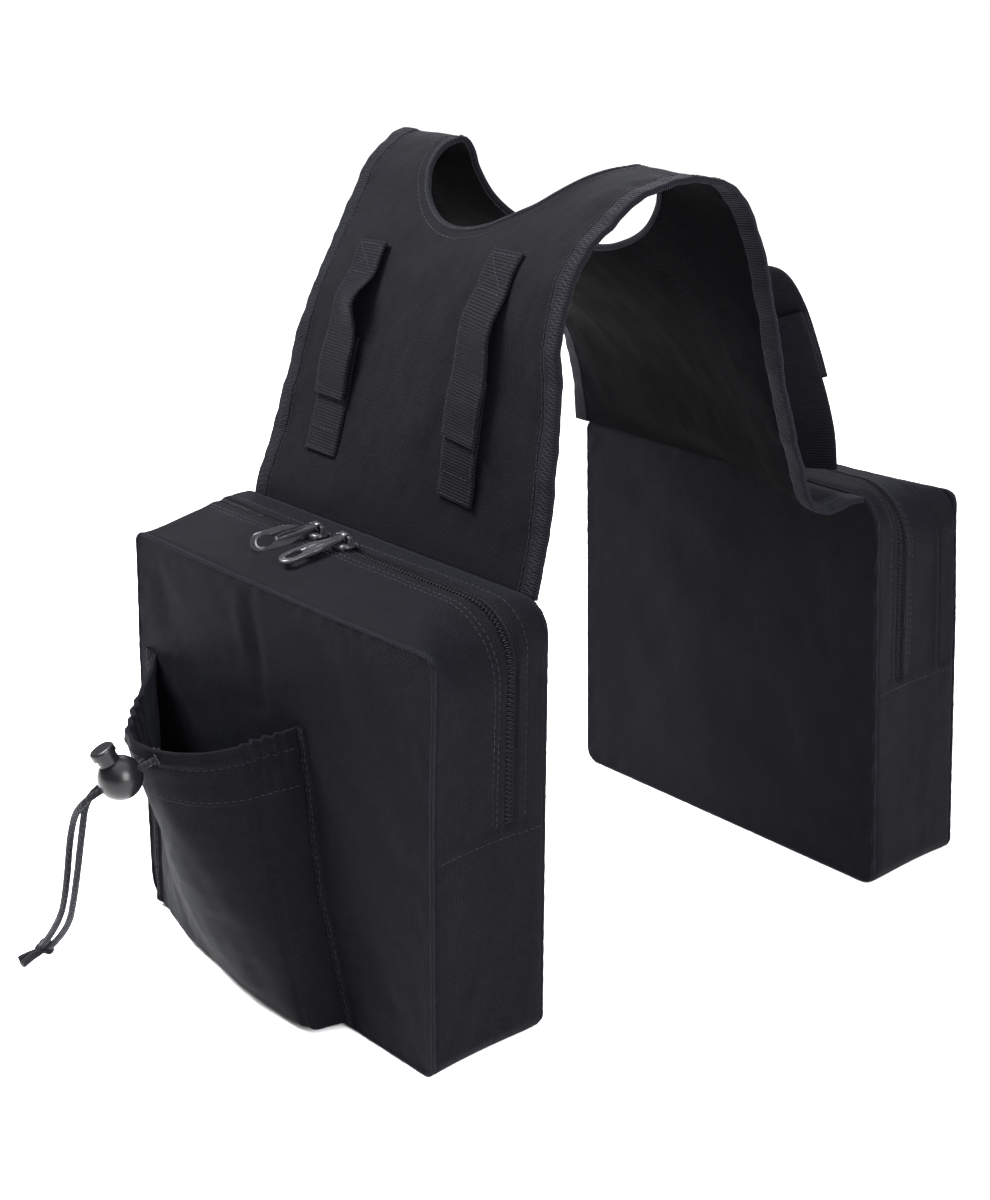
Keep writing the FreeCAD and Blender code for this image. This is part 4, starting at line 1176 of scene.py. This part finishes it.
STRAP_WIDTH, PILE_WIDTH, STRAP_THICK, SEW_LINE, STRAP_ROWS = 25.0, 22.5, 1.7, 10.4, 46
LOOP_END, HOOK_START = int(STRAP_ROWS * 0.52), int(STRAP_ROWS * 0.62)    # rows of the two piles
STRAPS = [                                       # top and foot in x and z of the strap and of its tab
    ("near", "left", (-61, 343), (-62.5, 270), (-62, 300), (-63, 243), {"bump": 4.5, "lean": 0.4}),
    ("near", "right", (53, 356), (45, 271), (46, 301), (42.5, 243), {"bump": 0.8}),
    ("far", "left", (-62, 343), (-62, 271), (-62, 301), (-62, 244), {"bump": 1.0})]
FREE_STRAP = [(38, 343), (47, 336), (59, 330), (74, 322), (87, 306), (98, 284), (104.5, 269)]
FREE_TAB = [(83, 305), (91, 290), (98, 274), (105, 258), (111, 240), (113.8, 222)]
TWIST, TAB_TWIST = ((0.1, 0.25, 0.45), (0, -26, -42)), ((0.6, 1.0), (-42, -24))    # stops along it, degrees
ACROSS = np.array([-1, -0.97, -0.9, -0.7, -0.4, 0, 0.4, 0.7, 0.9, 0.97, 1])


def ribbon(centre, across, normal, lift, thick, width):
    """Mesh data of a flat band along centre [n, 3]; lift is [n, cols], above the line it follows."""
    top = np.array([0.5, 0.86, 1, 1, 1, 1, 1, 1, 1, 0.86, 0.5]) * thick
    low = np.array([0.14, 0, 0, 0, 0, 0, 0, 0, 0.14]) * thick
    u = np.concatenate([ACROSS, ACROSS[::-1][1:-1]])
    height = np.concatenate([top, low[::-1]])
    lift = np.concatenate([lift, lift[:, ::-1][:, 1:-1]], axis=1)
    points = (centre[:, None] + across[:, None] * (u * width / 2)[None, :, None]
              + normal[:, None] * (lift + height)[..., None])
    return loop_strip(points, grid_uvs(lengths(centre)[:, None], u * width / 2, lift.shape))


def strap_line(side, top, foot):
    """Centre, across and outward directions of a strap lying on a flank, from (x, z) to (x, z)."""
    x, z = np.linspace(top, foot, STRAP_ROWS).T
    v = v_of_height(x, z, side)
    centre = yoke(x, v)
    ahead = unit(np.gradient(centre, axis=0))
    normal = yoke_normal(x, v)
    across = unit(np.cross(normal, ahead)) * (1 if side == "near" else -1)
    return centre, across * np.sign(across[:, :1]), normal


def free_line(points, x_from, x_to, stops, degrees):
    """The same for a strap that stands off its flank along (y, z) points, turned by degrees at its stops."""
    line = spline(points, STRAP_ROWS)
    centre = np.concatenate([np.linspace(x_from, x_to, STRAP_ROWS)[:, None], line], axis=1)
    ahead = unit(np.gradient(line, axis=0))
    normal = np.stack([0 * line[:, 0], -ahead[:, 1], ahead[:, 0]], axis=1)
    normal *= np.sign(normal[:, 1:2])
    turn = np.radians(np.interp(np.linspace(0, 1, STRAP_ROWS)[:, None], stops, degrees))
    sideways = np.tile((1.0, 0, 0), (STRAP_ROWS, 1))
    across = np.cos(turn) * sideways - np.sin(turn) * normal
    return centre, across, np.cos(turn) * normal + np.sin(turn) * sideways


FINE = {"length": 2.3, "gap": 0.8}               # the straps' stitches


def box_stitches(line, lift, start, end, cross=True):
    """Thread round a rectangle of a band, with a cross in it, between two rows of its line."""
    centre, across, normal = line
    rows = np.arange(start, end + 1)
    lifted = centre + normal * lift[:, None]
    left, right = (lifted[rows] + across[rows] * (STRAP_WIDTH - 4.5) / 2 * s for s in (-1, 1))
    runs = [left, right, np.stack([left[0], right[0]]), np.stack([left[-1], right[-1]])]
    if cross:
        share = np.linspace(0, 1, len(rows))[:, None]
        runs += [left * (1 - share) + right * share, right * (1 - share) + left * share]
    facing = normal[rows].mean(axis=0)
    return [stitch_mesh(run, np.tile(facing, (len(run), 1)), **FINE) for run in runs]


def side_stitches(line, lift, rows):
    """Thread along both edges of a band; lift is [n, 2]."""
    centre, across, normal = (part[rows] for part in line)
    return [stitch_mesh(centre + across * SEW_LINE * s + normal * lift[rows, k, None], normal, **FINE)
            for k, s in enumerate((-1, 1))]


def make_strap(side, hand, line, tab_line, bump=0.0, lean=0.0, free=False):
    """A tie-down strap with its hook pile, the tab it closes on with its loop pile, and their stitches."""
    body, label = f"{side}_{hand}_strap", f"{side}_{hand}"
    t = np.linspace(0, 1, STRAP_ROWS)[:, None]
    u = ACROSS[None, :]
    rise = 0.35 + (0.6 if free else 2.6) * step(0.16, 0.42, t) + 0.0 * u
    if not free:
        rise += 1.1 * bell(t, 0.30, 0.1) * (1 + lean * u)
        rise += bump * bell(t, 0.40, 0.12) * step(-0.6, 1.0, u)
        rise += 0.25 * np.sin(t * 17 + 1.0) * step(0.2, 0.5, t) + 0.6 * step(0.93, 1.0, t) * (0.5 + 0.5 * u)
    tab_rise = 0.3 + 0 * (t + u)

    def band(name, line, rise, thick, width, material, rows=slice(None)):
        mesh = ribbon(*[part[rows] for part in line], rise[rows], thick, width)
        obj = join(f"{label}_{name}", [mesh], material)
        fix_normals(obj, sharp=60)
        return obj

    web = band("strap_web", line, rise, STRAP_THICK, STRAP_WIDTH, WEBBING)
    tab = band("tab_web", tab_line, tab_rise, STRAP_THICK, STRAP_WIDTH, WEBBING)
    loop = band("loop_pile", tab_line, tab_rise + 1.65, 0.9, PILE_WIDTH, PILE, slice(3, LOOP_END))
    hook = band("hook_pile", line, rise - 0.95, 0.95, PILE_WIDTH, PILE, slice(HOOK_START, STRAP_ROWS - 1))
    thread = box_stitches(line, rise[:, 5] + 1.75, 1, 9)
    thread += side_stitches(line, rise[:, (2, 8)] + 1.72, slice(9, -1))
    sewn = join(f"{label}_strap_stitches", thread, THREAD)
    thread = box_stitches(tab_line, tab_rise[:, 5] + 1.75, STRAP_ROWS - 10, STRAP_ROWS - 2, cross=False)
    thread += side_stitches(tab_line, tab_rise[:, (2, 8)] + 1.75, slice(LOOP_END, STRAP_ROWS - 10))
    tab_sewn = join(f"{label}_tab_stitches", thread, THREAD)
    bend(web, [f"{label}_strap"])
    bend(hook, [f"{label}_strap_hooks"])
    bend(sewn)
    yoke_blend(tab, [f"{label}_strap_tab"])
    yoke_blend(loop, ["strap_loop_patches"])
    yoke_blend(tab_sewn)


def make_straps():
    """Three straps that lie on the yoke, and the far right one, which stands off it."""
    for side, hand, top, foot, tab_top, tab_foot, shape in STRAPS:
        make_strap(side, hand, strap_line(side, top, foot), strap_line(side, tab_top, tab_foot), **shape)
    line, tab_line = free_line(FREE_STRAP, 66, 70, *TWIST), free_line(FREE_TAB, 68.5, 72, *TAB_TWIST)
    make_strap("far", "right", line, tab_line, free=True)


make_stage()
for side in SIDES:
    make_cords(side)
for side in SIDES:
    make_shell(side)
    make_coil(side)
    make_tapes(side)
    make_gusset_stitching(side)
    make_pocket(side)
    for hand, (x, *angles) in SLIDERS.items():
        make_slider(side, hand, x)
    for hand, (x, *angles) in SLIDERS.items():
        make_pull(side, hand, x, *angles)
    make_yoke_half(side)
for hand, sign in (("left", -1), ("right", 1)):
    for side in SIDES:
        make_edge_binding(hand, sign, side)
make_hole_binding()
make_straps()
